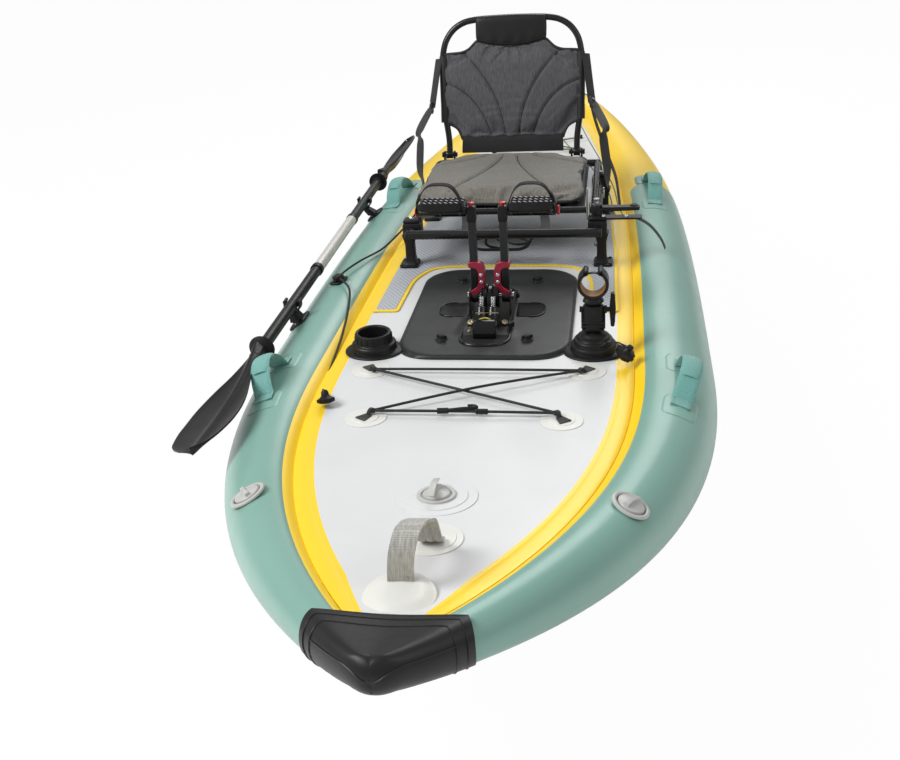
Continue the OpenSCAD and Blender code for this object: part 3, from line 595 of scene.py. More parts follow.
# ------------------------------------------------------------------ hull
def tube_piece(side, name):
    """The yellow base tube over its whole length."""
    g = Geo()
    ys = [-1.985, -1.965] + spread(-1.94, 1.60, 160)
    rings = []
    for y in ys:
        _, n, u = hull_frame(y)
        c = centre(y)
        r = tube_r(y)
        ring = []
        for k in range(64):
            a = 2 * math.pi * k / 64
            p = c + r * (math.cos(a) * u + math.sin(a) * n)
            ring.append(V(side * p.x, p.y, p.z))
        rings.append(ring)
    g.loft(rings)
    return g.done(name, "pvc_yellow")


def panel(side, name):
    """The teal panel welded over the tube, thin, with a turned edge and a rounded aft end."""
    g = Geo()
    y0, y1 = -1.960, TEAL_END
    corner = 0.075
    rings = []
    ys = [y0 + (y1 - y0) * (1 - (1 - i / 110) ** 1.25) for i in range(110)] + [y1 - 0.0004]
    for y in ys:
        r = tube_r(y)
        cut = 0.0
        if y > y1 - corner:
            k = (y - (y1 - corner)) / corner
            cut = corner * (1 - math.sqrt(max(1 - k * k, 0)))
        hi = 29 - math.degrees(cut / r)
        lo = -168 + math.degrees(cut / r)
        _, n, u = hull_frame(y)
        c = centre(y)
        ring = []
        for j in range(45):
            a = math.radians(lo + (hi - lo) * j / 44)
            h = 0.0016 if 0 < j < 44 else 0.0002
            p = c + (r + h) * (math.cos(a) * u - math.sin(a) * n)
            ring.append(V(side * p.x, p.y, p.z))
        rings.append(ring)
    last = []
    for q in rings[-1]:
        d = (Vector((side * q.x, q.y, q.z)) - centre(y1)).normalized()
        p = centre(y1) + d * (tube_r(y1) + 0.0002)
        last.append(V(side * p.x, y1, p.z))
    rings.append(last)
    g.loft(rings, around=False)
    return g.done(name, "pvc_teal", smooth=50)


def floor_profile(y, n_top=10):
    """Half section from the centre line of the deck round to the centre of the bottom: (x, z, kind).

    Kind is 0 for the deck, 1 for the coloured shoulder and 2 for everything below it.
    """
    lean = hull_frame(y)[1].x
    c = centre(y)
    r = tube_r(y)
    away = 0.0012 + 0.004 * end_share(y)
    gz = c.z + r * math.cos(math.radians(43))
    sh = min(0.062, 0.34 * c.x)
    gx = c.x - (r * math.sin(math.radians(43)) + away) / lean
    top = deck_z(y)
    fx = max(gx - sh / lean, 0.002)
    well = 0.050
    pts = [(0.0, top, 0)]
    xs = sorted(set([well] + [fx * i / n_top for i in range(1, n_top)]))
    if fx < well * 1.4:
        xs = [fx * i / (n_top + 1) for i in range(1, n_top + 1)]
    while len(xs) < n_top:
        xs.append((xs[-1] + fx) / 2)
    pts += [(x, top, 0) for x in xs[:n_top]]
    for k in range(0, 13):
        a = math.radians(90 * k / 12)
        w = math.sin(a) ** 1.35
        x = fx + (gx - fx) * w
        z = gz + (top - gz) * math.cos(a) ** 0.8
        pts.append((x, z, 1 if k >= 5 else 0))
    for p in (58, 74, 92, 112, 132, 148):
        a = math.radians(p)
        pts.append((c.x - (r + away) * math.sin(a) / lean, c.z + (r + away) * math.cos(a), 2))
    low = c.z - r - 0.005
    bx = c.x - 1.02 * r / lean
    pts.append((c.x - 0.80 * r / lean, low + 0.008, 2))
    pts.append((bx, low, 2))
    pts.append((0.050 if bx > 0.07 else bx * 0.7, low, 2))
    pts.append((0.0, low, 2))
    return pts


def floor():
    """The drop-stitch floor and its coloured shoulders, with the drive well left open."""
    ys = [-1.915, -1.900, -1.885]
    ys += list(spread(-1.865, -0.86, 42)) + [-0.834] + list(spread(-0.80, -0.52, 8)) + [-0.490]
    ys += list(spread(-0.46, 1.56, 66)) + [1.575, 1.59]
    rings, marks = [], None
    for y in ys:
        pts = floor_profile(y)
        if marks is None:
            marks = [p[2] for p in pts]
        right = [V(x, y, z) for x, z, _ in pts]
        left = [V(-x, y, z) for x, z, _ in pts[1:-1]]
        rings.append(right + left[::-1])
    n = len(rings[0])
    h = len(marks)
    verts = [p for r in rings for p in r]
    faces, mats = [], []
    wx = 0.051
    for i in range(len(rings) - 1):
        for j in range(n):
            k = (j + 1) % n
            q = [verts[i * n + j], verts[i * n + k], verts[(i + 1) * n + k], verts[(i + 1) * n + j]]
            if (-0.835 < min(p.y for p in q) and max(p.y for p in q) < -0.489
                    and max(abs(p.x) for p in q) < wx
                    and abs(q[0].z - q[1].z) < 0.02):
                continue
            faces.append([i * n + j, i * n + k, (i + 1) * n + k, (i + 1) * n + j])
            jj = j if j < h - 1 else n - 1 - j
            mats.append(1 if marks[min(jj + 1, h - 1)] == 1 and jj >= 0 and marks[jj] != 2 else 0)
    faces.append(list(range(n))[::-1])
    faces.append([(len(rings) - 1) * n + j for j in range(n)])
    mats += [0, 0]
    return make("deck_and_floor", verts, faces, ["pvc_grey", "pvc_yellow"], "hull", mats, smooth=46)


def weld_strip(side, name, phi0, phi1, lift, mat="pvc_yellow"):
    """A raised tape along the tube, between two angles."""
    g = Geo()
    rings = []
    for y in spread(-1.93, 1.58, 130):
        n = 7
        row = []
        for j in range(n):
            h = lift if 0 < j < n - 1 else 0.0001
            row.append(on_tube(y, phi0 + (phi1 - phi0) * j / (n - 1), h, side))
        rings.append(row)
    g.loft(rings, around=False)
    return g.done(name, mat, smooth=60)


def strip_edge(side, name):
    """The inner edge of the deck's coloured strip: a thin raised tape on the floor's shoulder."""
    g = Geo()
    rings = []
    for y in spread(-1.895, 1.56, 130):
        pts = [p for p in floor_profile(y) if p[2] == 1]
        row = []
        lim = len(pts)
        for j, (x, z, _) in enumerate(pts):
            a, b = pts[max(j - 1, 0)], pts[min(j + 1, lim - 1)]
            t = Vector((b[0] - a[0], b[1] - a[1])).normalized()
            nrm = Vector((-t.y, t.x))
            if nrm.y < 0:
                nrm = -nrm
            h = 0.0014 if 0 < j < lim - 1 else 0.0001
            row.append(V(side * (x + nrm.x * h), y, z + nrm.y * h))
        rings.append(row)
    g.loft(rings, around=False)
    return g.done(name, "pvc_yellow", smooth=60)


def tail_cap(name):
    """Moulded rubber tail: two tube sleeves meeting in a blunt V, with a web between them."""
    start = 1.535
    path, radii = [], []
    n = 26
    for i in range(n + 1):
        k = i / n
        y = start + (STERN - start - 0.004) * k ** 0.7
        path.append(centre(y))
        radii.append(tube_r(y) + 0.0042 + 0.004 * math.sin(math.pi * min(k * 1.2, 1)))
    full = path + [V(-p.x, p.y, p.z) for p in path[::-1]]
    rad = radii + radii[::-1]
    # resample evenly and round the point of the V
    dist = [0.0]
    for a, b in zip(full, full[1:]):
        dist.append(dist[-1] + (b - a).length)
    total = dist[-1]
    m = 46
    pts, rr = [], []
    for i in range(m + 1):
        d = total * i / m
        k = max(j for j in range(len(dist)) if dist[j] <= d + 1e-9)
        k = min(k, len(dist) - 2)
        f = (d - dist[k]) / max(dist[k + 1] - dist[k], 1e-9)
        pts.append(full[k].lerp(full[k + 1], f))
        rr.append(rad[k] + (rad[k + 1] - rad[k]) * f)
    for _ in range(3):
        pts = [pts[0]] + [(pts[i - 1] + 2 * pts[i] + pts[i + 1]) / 4 for i in range(1, m)] + [pts[-1]]
    g = Geo()
    rings = []
    for i, p in enumerate(pts):
        t = (pts[min(i + 1, m)] - pts[max(i - 1, 0)]).normalized()
        side = V(t.y, -t.x, 0).normalized()
        if side.y < 0:
            side = -side
        up = V(0, 0, 1)
        near = 1 - min(abs(i - m / 2) / (m * 0.42), 1)
        ring = []
        for j in range(48):
            a = 2 * math.pi * j / 48
            c, s = math.cos(a), math.sin(a)
            r = rr[i]
            q = p + r * (s * side + c * up)
            # the moulded nose is squarer than the tube and its top dips towards the middle
            if s > 0:
                q += side * 0.006 * near * (abs(math.sin(2 * a)) ** 0.7)
                q += up * (0.010 if c > 0 else -0.006) * near * abs(math.sin(2 * a)) ** 0.7
            ring.append(q)
        rings.append(ring)
    lip = []
    for i in (0, m):
        c = pts[i]
        lip.append([c + (q - c) * 0.965 for q in rings[i]])
    rings = [lip[0]] + rings + [lip[1]]
    g.loft(rings, caps=False)
    ob = g.done(name, "rubber_cap", smooth=60)
    # moulded ridges: a band round each sleeve and an arc over the nose
    seam = Geo()
    for i in (9, m - 9):
        ring = rings[i + 1]
        c = pts[i]
        seam.tube([c + (q - c) * 1.004 for q in ring], 0.0013, n=6, closed=True)
    for i in (3, m - 3):
        ring = rings[i + 1]
        c = pts[i]
        seam.tube([c + (q - c) * 1.002 for q in ring], 0.0010, n=6, closed=True)
    row = []
    for i in range(9, m - 8):
        ring = rings[i + 1]
        k = abs(i - m / 2) / (m / 2 - 9)
        j = int(round(2 + 3 * (1 - k)))
        row.append(ring[j] + (ring[j] - pts[i]) * 0.006)
    seam.tube(smooth_path(row, 3), 0.0013, n=6)
    seam.done(name + "_seams", "rubber_cap")
    # web that closes the notch between the sleeves
    web = Geo()
    rows = []
    inner = [(i, pts[i]) for i in range(4, m // 2 + 1)]
    for i, p in inner:
        z = p.z + rr[i] * 0.74
        zb = p.z - rr[i] * 0.60
        x = max(p.x, 0.0)
        row = []
        for j in range(13):
            f = -1 + 2 * j / 12
            row.append(V(x * f, p.y, z - 0.018 * (1 - f * f) * min(x / 0.05, 1)))
        for j in range(12, -1, -1):
            f = -1 + 2 * j / 12
            row.append(V(x * f, p.y, zb + 0.01 * (1 - f * f)))
        rows.append(row)
    web.loft(rows)
    web.done(name + "_web", "rubber_cap", smooth=50)
    return ob


def nose():
    """Moulded bow cap: a filled rounded wedge swept over the meeting tubes."""
    line = [(tube_x(y), y, tube_r(y) + 0.0060, tube_z(y)) for y in spread(-1.80, -BOW, 240)]

    def reach(y):
        half = high = 0.0
        z = line[-1][3]
        for x, cy, rad, cz in line:
            d = rad * rad - (y - cy) ** 2
            if d > 0:
                half = max(half, x + math.sqrt(d))
                if math.sqrt(d) > high:
                    high, z = math.sqrt(d), cz
        return half, high, z

    tip = -BOW - line[-1][2]
    start = -1.893
    rows, spines = [], []
    for i in range(41):
        k = i / 40
        y = start + (tip + 0.0001 - start) * (1 - (1 - k) ** 1.9)
        row = []
        for j in range(72):
            # a flat-topped section: half circles at the sides, a filled web between them
            f, quarter = (j % 18) / 18, j // 18
            wide = math.sin(math.pi * f) if quarter % 2 else 0.0
            here = y - 0.034 * (1 - k) ** 2 * wide
            half, high, z = reach(here)
            flat = max(half - high, 0.0)
            if quarter == 0:
                x, q = flat * (2 * f - 1), high
            elif quarter == 2:
                x, q = flat * (1 - 2 * f), -high
            else:
                sgn = 1 if quarter == 1 else -1
                x, q = sgn * (flat + high * wide), sgn * high * math.cos(math.pi * f)
            sag = max(1 - (x / max(flat, 1e-6)) ** 2, 0) ** 2 * min(flat / 0.06, 1)
            q -= (0.005 if q > 0 else -0.003) * sag
            row.append(V(x, here + 0.010 * k * k, z + q))
        z = reach(y)[2]
        rows.append(row)
        spines.append(V(0, y + 0.010 * k * k, z))
    lip = [spines[0] + (q - spines[0]) * 0.955 + V(0, 0.001, 0) for q in rows[0]]
    g = Geo()
    g.loft([lip] + rows)
    ob = g.done("nose_cap", "rubber_cap", smooth=60)
    seam = Geo()
    for i in (2, 5):
        seam.tube([spines[i] + (q - spines[i]) * 1.003 for q in rows[i]], 0.0012, n=6, closed=True)
    for j0 in (24, 66):
        seam.tube([spines[i] + (rows[i][j0] - spines[i]) * 1.002 for i in range(5, 38)], 0.0013, n=6)
    seam.done("nose_cap_seams", "rubber_cap")
    return ob


hull_parts = [tube_piece(1, "side_tube_port"), tube_piece(-1, "side_tube_starboard")]
hull_parts += [panel(1, "panel_port"), panel(-1, "panel_starboard")]
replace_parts(hull_parts[0], "tube_port")
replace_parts(hull_parts[1], "tube_starboard", "stern_tubes")
deck = floor()
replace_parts(deck, "deck_floor")
edge_port = strip_edge(1, "strip_port")
strip_edge(-1, "strip_starboard")
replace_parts(edge_port, "deck_bands")
TAPE_FROM, TAPE_TO, TAPE_LIFT = 26, 62, 0.0012
weld_strip(1, "tape_port", TAPE_FROM, TAPE_TO, TAPE_LIFT)
weld_strip(-1, "tape_starboard", TAPE_FROM, TAPE_TO, TAPE_LIFT)
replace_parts(nose(), "bow_cap")
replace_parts(tail_cap("tail_cap"), "stern_cap")


# ------------------------------------------------------------------ deck pad
def pad_outline(inset):
    half = [(0.304 - inset, -0.620 + inset, 0.010), (0.298 - inset, -0.20, 0.0),
            (0.258 - inset, 0.56, 0.02),
            (0.250 - inset, 0.65 - inset, 0.05)]
    inner = [(0.236 + inset, -0.620 + inset, 0.012), (0.230 + inset, -0.400, 0.08),
             (0.190 + inset * 0.8, -0.320 + inset * 0.6, 0.06), (0.120, -0.310 + inset, 0.02)]
    pts = half + [(-x, y, r) for x, y, r in half[::-1]]
    pts += [(-x, y, r) for x, y, r in inner] + inner[::-1]
    return rounded_poly(pts, 7)


def fill_poly(name, poly, z0, z1, mat):
    """A thin sheet with a rounded edge."""
    bm = bmesh.new()
    vs = [bm.verts.new((x, y, z0)) for x, y in poly]
    f = bm.faces.new(vs)
    ext = bmesh.ops.extrude_face_region(bm, geom=[f])
    for v in [e for e in ext["geom"] if isinstance(e, bmesh.types.BMVert)]:
        v.co.z = z1
    bmesh.ops.recalc_face_normals(bm, faces=bm.faces)
    me = bpy.data.meshes.new(name)
    bm.to_mesh(me)
    bm.free()
    verts = [v.co.copy() for v in me.vertices]
    faces = [list(p.vertices) for p in me.polygons]
    bpy.data.meshes.remove(me)
    return make(name, verts, faces, mat, smooth=30, bevel=0.0012, segs=2)


pad = fill_poly("deck_pad", pad_outline(0.0085), DECK + 0.0004, DECK + 0.0054, "eva_grey")
g = Geo()
outer, inner = pad_outline(0.0), pad_outline(0.0086)
g.prism(outer, DECK + 0.0004, DECK + 0.0044, hole=inner)
pad_rim = g.done("deck_pad_border", "eva_yellow", smooth=30, bevel=0.0008)
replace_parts(pad, "foam_pad")
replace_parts(pad_rim, "pad_border")


# ------------------------------------------------------------------ drive well plate
def plate_height(x, y):
    """Top of the moulded plate: a rolled rim, a flat field, wings sunk either side of the drive opening."""
    w, l, r = 0.200, 0.273, 0.092
    dx = max(abs(x) - (w - r), 0)
    dy = max(abs(y) - (l - r), 0)
    d = r - math.hypot(dx, dy)
    if dx == 0 and dy == 0:
        d = min(w - abs(x), l - abs(y))
    elif dx == 0:
        d = r - dy
    elif dy == 0:
        d = r - dx
    z = 0.0095
    if d < 0.010:
        z -= 0.0085 * (1 - math.sqrt(max(1 - (1 - max(d, 0) / 0.010) ** 2, 0)))
    # wings
    wy = y - 0.027
    wx = abs(x)
    e = 0.0
    c = 0.0175
    if wx < 0.118 - c:
        e = c - abs(wy)
    else:
        e = c - math.hypot(wx - (0.118 - c), wy)
    z -= 0.0092 * smooth01(e / 0.006 + 0.3)
    # raised collar of the opening
    lx = 0.050 + 0.012 * smooth01((0.06 - abs(y + 0.13)) / 0.1)
    ex = max(wx - lx, 0)
    ey = max(abs(y + 0.045) - 0.178, 0)
    k = math.hypot(ex, ey)
    if abs(wy) > 0.020 or wx > 0.125:
        z += 0.004 * (1 - smooth01(k / 0.016)) * (1 if y < 0.0 else 0.6)
    return z


def smooth01(t):
    t = min(max(t, 0.0), 1.0)
    return t * t * (3 - 2 * t)


def well_plate():
    cx, cy = 0.0, -0.617
    outline = rrect(0.400, 0.546, 0.092, 14)
    m = len(outline)
    hole = []
    hx, hy0, hy1 = 0.0465, -0.213, 0.123
    for i in range(m):
        x, y = outline[i]
        # matching point on the slot
        tx = hx / max(abs(x), 1e-6)
        ty = (hy1 if y > 0 else -hy0) / max(abs(y), 1e-6)
        t = min(tx, ty)
        hole.append((x * t, y * t))
    g = Geo()
    steps = [0, .02, .045, .07, .10, .15, .22, .30, .38, .46, .54, .62, .70, .76, .82, .88, .93, 1.0]
    rings = []
    for s in steps:
        ring = []
        for (ox, oy), (ix, iy) in zip(outline, hole):
            x = ox + (ix - ox) * s
            y = oy + (iy - oy) * s
            ring.append(V(cx + x, cy + y, DECK + plate_height(x, y)))
        rings.append(ring)
    base = [V(cx + x, cy + y, DECK + 0.0004) for x, y in outline]
    wall = [[V(cx + x, cy + y, z) for x, y in hole] for z in (DECK + 0.004, DECK - 0.05, 0.10, 0.02)]
    g.loft([base] + rings + wall, caps=False)
    return g.done("drive_well_plate", "plastic_plate", smooth=40)


plate = well_plate()
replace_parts(plate, "drive_well")
g = Geo()
for sx in (-1, 1):
    for x, y in ((0.097, -0.440), (0.099, -0.800)):
        o = V(sx * x, y, DECK + 0.0090)
        g.lathe([(0.0, 0.0), (0.0150, 0.0), (0.0148, 0.0020), (0.0115, 0.0032), (0.0092, 0.0050),
                 (0.0088, 0.0110),
                 (0.0070, 0.0138), (0.0, 0.0142)], o, n=36)
        m = frame_matrix(o + V(0, 0, 0.006), (0, 0, 1), (math.cos(sx * 0.35), math.sin(sx * 0.35), 0))
        g.prism(rrect(0.026, 0.0075, 0.0036, 5), 0, 0.0066, m)
knobs = g.done("well_knob_set", "plastic_black", smooth=40, bevel=0.0008)
# glossy wings and the rolled rim of the drive opening
WING_Y = -0.626
g = Geo()
rim = Geo()
for s in (-1, 1):
    wing = [V(s * (0.046 + x), WING_Y + y, 0) for x, y in rrect(0.164, 0.086, 0.036, 8)]
    wing = [p for p in wing if p.x * s > 0.050]
    wing.sort(key=lambda p: math.atan2(p.y - WING_Y, abs(p.x) - 0.060))
    wing = [V(s * 0.050, WING_Y - 0.043, 0)] + wing + [V(s * 0.050, WING_Y + 0.043, 0)]
    top = DECK + 0.0104
    low = [p + V(0, 0, DECK + 0.0060) for p in wing]
    g.loft([low, [V(p.x, p.y, top) for p in wing]])
    rim.tube([V(p.x, p.y, top) for p in wing[1:-1]], 0.0022, n=8)
g.done("well_wings", "plastic_gloss", smooth=40)
mouth = [V(x * (1.14 if y < -0.66 else 1.0), y, DECK + 0.0098) for x,
         y in rrect(0.100, 0.350, 0.046, 10, 0.0, -0.660)]
rim.tube(mouth, 0.0042, n=12, closed=True)
# a thin near-black sheet across the drive opening: painted shade standing in for the well's dark depth
g = Geo()
g.prism([(p.x, p.y) for p in mouth], DECK + 0.0090, DECK + 0.0106)
g.done("well_mouth_painted_shade", "dark_gap", smooth=40)
rim.done("well_rim", "plastic_gloss", smooth=60)
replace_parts(knobs, "well_knobs")


# ------------------------------------------------------------------ patches, handles, valves
def disc_on(name, origin, normal, rx, ry, steps, mat, x_axis=(1, 0, 0), body="hull"):
    """Concentric welded discs: steps are (radius share, height)."""
    m = frame_matrix(origin, normal, x_axis)
    g = Geo()
    rings = []
    for s, h in steps:
        rings.append([m @ V(rx * s * math.cos(2 * math.pi * k / 56),
                            ry * s * math.sin(2 * math.pi * k / 56), h)
                      for k in range(56)])
    g.loft(rings, caps=False)
    g.f.append([(len(rings) - 1) * 56 + k for k in range(56)])
    g.m.append(0)
    return g.done(name, mat, body, smooth=50)


def deck_normal(y):
    return V(0, -(deck_z(y + 0.005) - deck_z(y - 0.005)) / 0.010, 1).normalized()


def deck_point(x, y, h=0.0):
    return V(x, y, deck_z(y)) + deck_normal(y) * h


def tube_sheet(name, side, y0, y1, phi, half, mat, lift=0.0018, round_=True):
    """A patch that lies on the tube's curve."""
    g = Geo()
    rings = []
    n = 22
    ym, yh = (y0 + y1) / 2, (y1 - y0) / 2
    for i in range(n + 1):
        k = -math.cos(math.pi * i / n)
        y = ym + yh * k
        w = half * (math.sqrt(max(1 - k * k, 0.0)) if round_ else max(1 - abs(k) ** 9, 0.0) ** 0.5)
        w = max(w, 0.15)
        row = []
        for j in range(17):
            f = -1 + 2 * j / 16
            edge = 0 < j < 16 and 0 < i < n
            row.append(on_tube(y, phi + w * f, lift if edge else 0.0002, side))
        rings.append(row)
    g.loft(rings, around=False)
    return g.done(name, mat, smooth=50)


HANDLES = ((-1.140, -0.925, -18), (0.170, 0.440, -8))
k = 0
for side, tag in ((1, "port"), (-1, "starboard")):
    for j, (y0, y1, up_phi) in enumerate(HANDLES):
        nm = "%s_%d" % (tag, j)
        pts = []
        base = []
        n = 34
        height = 0.050
        for i in range(n + 1):
            t = i / n
            y = y0 + (y1 - y0) * t
            if t < 0.16 or t > 0.84:
                h = 0.0046
            else:
                q = (t - 0.16) / 0.68
                h = 0.0046 + height * math.sin(math.pi * q) ** 0.62
            base.append(on_tube(y, up_phi, h, side))
        sides = []
        for i in range(n + 1):
            t = (base[min(i + 1, n)] - base[max(i - 1, 0)]).normalized()
            nr = tube_normal(base[i].y, up_phi, side)
            sides.append(t.cross(nr).normalized())
        g = Geo()
        g.ribbon(base, 0.044, 0.0026, sides)
        strap = g.done("side_handle_" + nm, "webbing_teal", smooth=50)
        # a padded grip wrapped round the raised part
        g = Geo()
        rings = []
        lo, hi = int(n * 0.30), int(n * 0.70)
        for i in range(lo, hi + 1):
            q = (i - lo) / (hi - lo)
            w = 0.0215 * (1 - 0.25 * abs(2 * q - 1) ** 6)
            t = (base[min(i + 1, n)] - base[max(i - 1, 0)]).normalized()
            s = sides[i]
            u = t.cross(s)
            rings.append([base[i] + s * w * math.cos(a) + u * 0.0062 * math.sin(a)
                          for a in [2 * math.pi * z / 20 for z in range(20)]])
        g.loft(rings)
        g.done("handle_grip_" + nm, "webbing_teal", smooth=50)
        for e, (a, b) in enumerate(((y0 - 0.040, y0 + 0.052), (y1 - 0.052, y1 + 0.040))):
            tube_sheet("handle_patch_%s_%d" % (nm, e), side, a, b, up_phi, 23, "pvc_teal", 0.0030, False)
        for e in (0, 1):
            path = []
            idx = [0, 1, 2, 3, 4, 5] if e == 0 else [n - 5, n - 4, n - 3, n - 2, n - 1, n]
            for off in (-0.017, 0.017):
                path = [base[i] + sides[i] * off + tube_normal(base[i].y, up_phi,
                                                               side) * 0.0016 for i in idx]
                stitches("handle_stitch_%s_%d_%d" % (nm, e, off > 0), path, 0.004, 0.003, 0.0005,
                         "thread_grey")
        if k == 0:
            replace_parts(strap, "side_handles")
        k += 1

# bow handle: a tall loop of ribbed webbing
b0, b1 = V(0.0, -1.802, deck_z(-1.802) + 0.012), V(0.020, -1.664, deck_z(-1.664) + 0.006)
loop = smooth_path([b0 + V(0, -0.006, -0.004), b0 + V(0, -0.006, 0.012), b0 + V(0.001, -0.001, 0.036),
                    b0 + V(0.004, 0.008, 0.056), b0 + V(0.008, 0.026, 0.069), b0 + V(0.012, 0.052, 0.066),
                    b0 + V(0.015, 0.080, 0.052), b0 + V(0.018, 0.104, 0.034), b1 + V(0.000, -0.014, 0.014),
                    b1 + V(0, 0.006, 0.002)], 7)
g = Geo()
rings = []
for i, p in enumerate(loop):
    t = (loop[min(i + 1, len(loop) - 1)] - loop[max(i - 1, 0)]).normalized()
    s = V(1, 0.05, 0)
    s = (s - s.dot(t) * t).normalized()
    u = t.cross(s)
    w = 0.0200 - 0.0010 * math.sin(math.pi * i / (len(loop) - 1))
    top, bot = [], []
    for j in range(25):
        f = -1 + 2 * j / 24
        rib = 0.0024 + 0.0016 * abs(math.sin(math.pi * 1.5 * (f + 1))) ** 0.6
        top.append(p + s * w * f + u * rib)
        bot.append(p + s * w * f - u * 0.0022)
    rings.append(top + bot[::-1])
g.loft(rings)
bow_loop = g.done("bow_handle_loop", "webbing_silver", smooth=60)
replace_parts(bow_loop, "bow_handle")
for q in (0.0, 0.006, 0.012):
    p = b0 + V(0, -0.008 + q * 0.4, 0.002 + q)
    stitches("bow_stitch_%d" % int(q * 1000), [p + V(-0.017, -0.0045, 0), p + V(0.017, -0.0045, 0)], 0.0030,
             0.0021,
             0.00055, "thread_grey")


def dome_patch(name, origin, normal, r, h, mat="pvc_white"):
    steps = [(1.0, 0.0), (0.99, 0.0014), (0.80, 0.0018), (0.79, 0.0030), (0.55, 0.0036), (0.3, h),
             (0.05, h)]
    return disc_on(name, origin, normal, r, r, steps, mat)


# front patch drapes over the nose cap
g = Geo()
rings = []
cz = deck_z(-1.825)
for s in [0.02, .2, .4, .6, .75, .88, .96, 1.0, 1.0]:
    ring = []
    for i in range(56):
        a = 2 * math.pi * i / 56
        x, y = 0.054 * s * math.cos(a), -1.828 + 0.050 * s * math.sin(a)
        sag = 0.060 * (x / 0.054) ** 2 * 0.12 + max(-1.835 - y, 0) ** 2 * 2.0
        z = cz + 0.0150 - 0.005 * s * s - sag + (0.0016 if 0.5 < s < 0.8 else 0.0)
        ring.append(V(x, y, z))
    rings.append(ring)
rings[-1] = [V(p.x * 1.0, p.y, p.z - 0.012) for p in rings[-1]]
g.loft(rings, caps=False)
g.f.append(list(range(56)))
g.m.append(0)
front_patch = g.done("bow_patch_front", "pvc_white", smooth=60)
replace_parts(front_patch, "deck_patches")
dome_patch("bow_patch_rear", deck_point(0.012, -1.650, 0.0006), deck_normal(-1.65), 0.056, 0.0042)

# valves
VALVE_Y = -1.500


def valve(name, origin, normal, r, mat_rim, x_axis, cap_turn):
    m = frame_matrix(origin, normal, x_axis)
    ax = m.to_3x3() @ V(0, 0, 1)
    g = Geo()
    g.lathe([(r, 0.0), (r, 0.0018), (r * 0.985, 0.0034), (r * 0.93, 0.0046), (r * 0.86, 0.0046),
             (r * 0.80, 0.0036),
             (r * 0.77, 0.0010), (r * 0.76, -0.004), (0.0, -0.004)], origin, ax, n=56,
             side=m.to_3x3() @ V(1, 0, 0))
    g.done(name + "_rim", mat_rim, smooth=38)
    g = Geo()
    rc = r * 0.70
    g.lathe([(0.0, 0.0098), (rc * 0.35, 0.0098), (rc * 0.5, 0.0088), (rc * 0.82, 0.0070),
             (rc * 0.96, 0.0058),
             (rc, 0.0040), (rc, -0.0030), (0.0, -0.0030)], origin, ax, n=48)
    # grip bar across the cap
    mm = m @ Matrix.Rotation(math.radians(cap_turn), 4, "Z")
    bar = []
    for i in range(13):
        f = -1 + 2 * i / 12
        bar.append((mm @ V(rc * 0.86 * f, 0, 0.0)))
    rings = []
    for i in range(13):
        f = -1 + 2 * i / 12
        h = 0.0125 + 0.0035 * (1 - f * f)
        w = 0.0036 + 0.0022 * f * f
        base = 0.004
        rings.append([mm @ V(rc * 0.86 * f, -w, base), mm @ V(rc * 0.86 * f, -w * 0.7, h),
                      mm @ V(rc * 0.86 * f, w * 0.7, h),
                      mm @ V(rc * 0.86 * f, w, base)])
    g.loft(rings)
    return g.done(name + "_cap", mat_rim, smooth=38, bevel=0.0006)


disc_on("deck_valve_patch", deck_point(0, VALVE_Y, 0.0004), deck_normal(VALVE_Y), 0.072, 0.072,
        [(1, 0), (0.99, 0.0012), (0.76, 0.0013), (0.75, 0.0026), (0.40, 0.0027), (0.05, 0.0027)],
        "pvc_grey")
c0 = valve("deck_valve", deck_point(0, VALVE_Y, 0.0030), deck_normal(VALVE_Y), 0.034, "valve_silver",
           (1, 0, 0), 80)
strap_path = [deck_point(-0.004 + 0.0 * i, VALVE_Y - 0.034 + 0.068 * i / 10,
                         0.0185 + 0.006 * math.sin(math.pi * i / 10))
              for i in range(11)]
g = Geo()
g.ribbon(strap_path, 0.012, 0.0016, (1, 0, 0))
g.done("deck_valve_strap", "valve_silver", smooth=60)
for side, tag in ((1, "port"), (-1, "starboard")):
    y = -1.527
    o = on_tube(y, -23, 0.0006, side)
    nr = tube_normal(y, -23, side)
    v = valve("tube_valve_" + tag, o, nr, 0.034, "valve_silver", (0, 1, 0), -35 * side)
    if side == 1:
        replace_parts(v, "valve_bodies")
        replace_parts(c0, "valve_caps")

# ------------------------------------------------------------------ bungee
BUNGEE = ((0.243, -0.945), (0.203, -1.180))
anchors = {}
for i, (bx, by) in enumerate(BUNGEE):
    for s in (-1, 1):
        o = deck_point(s * (bx - 0.006), by, 0.0004)
        nr = deck_normal(by)
        disc_on("bungee_patch_%d_%d" % (i, s > 0), o, nr, 0.043, 0.043,
                [(1, 0), (0.985, 0.0014), (0.62, 0.0016), (0.60, 0.0028), (0.05, 0.0030)], "pvc_white")
        # webbing tab: a folded triangle with a small loop
        d = V(-s * 0.55, 0.83 if i else -0.83, 0).normalized()
        m = frame_matrix(o + nr * 0.0032, nr, d)
        g = Geo()
        g.prism(rounded_poly([(-0.016, -0.0135, 0.002), (0.010, -0.0075, 0.003), (0.016, 0, 0.003),
                              (0.010, 0.0075, 0.003), (-0.016, 0.0135, 0.002)], 3), 0, 0.0022, m)
        a0, a1 = m @ V(0.006, 0, 0.002), m @ V(0.021, 0, 0.001)
        g.ribbon(smooth_path([a0, m @ V(0.012, 0, 0.010), m @ V(0.020, 0, 0.012), m @ V(0.026, 0, 0.006),
                              a1], 5),
                 0.009, 0.0013, m.to_3x3() @ V(0, 1, 0))
        tab = g.done("bungee_tab_%d_%d" % (i, s > 0), "webbing_black", smooth=50)
        anchors[(i, s)] = m @ V(0.0185, 0, 0.0068)
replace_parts(tab, "bungee_fittings")


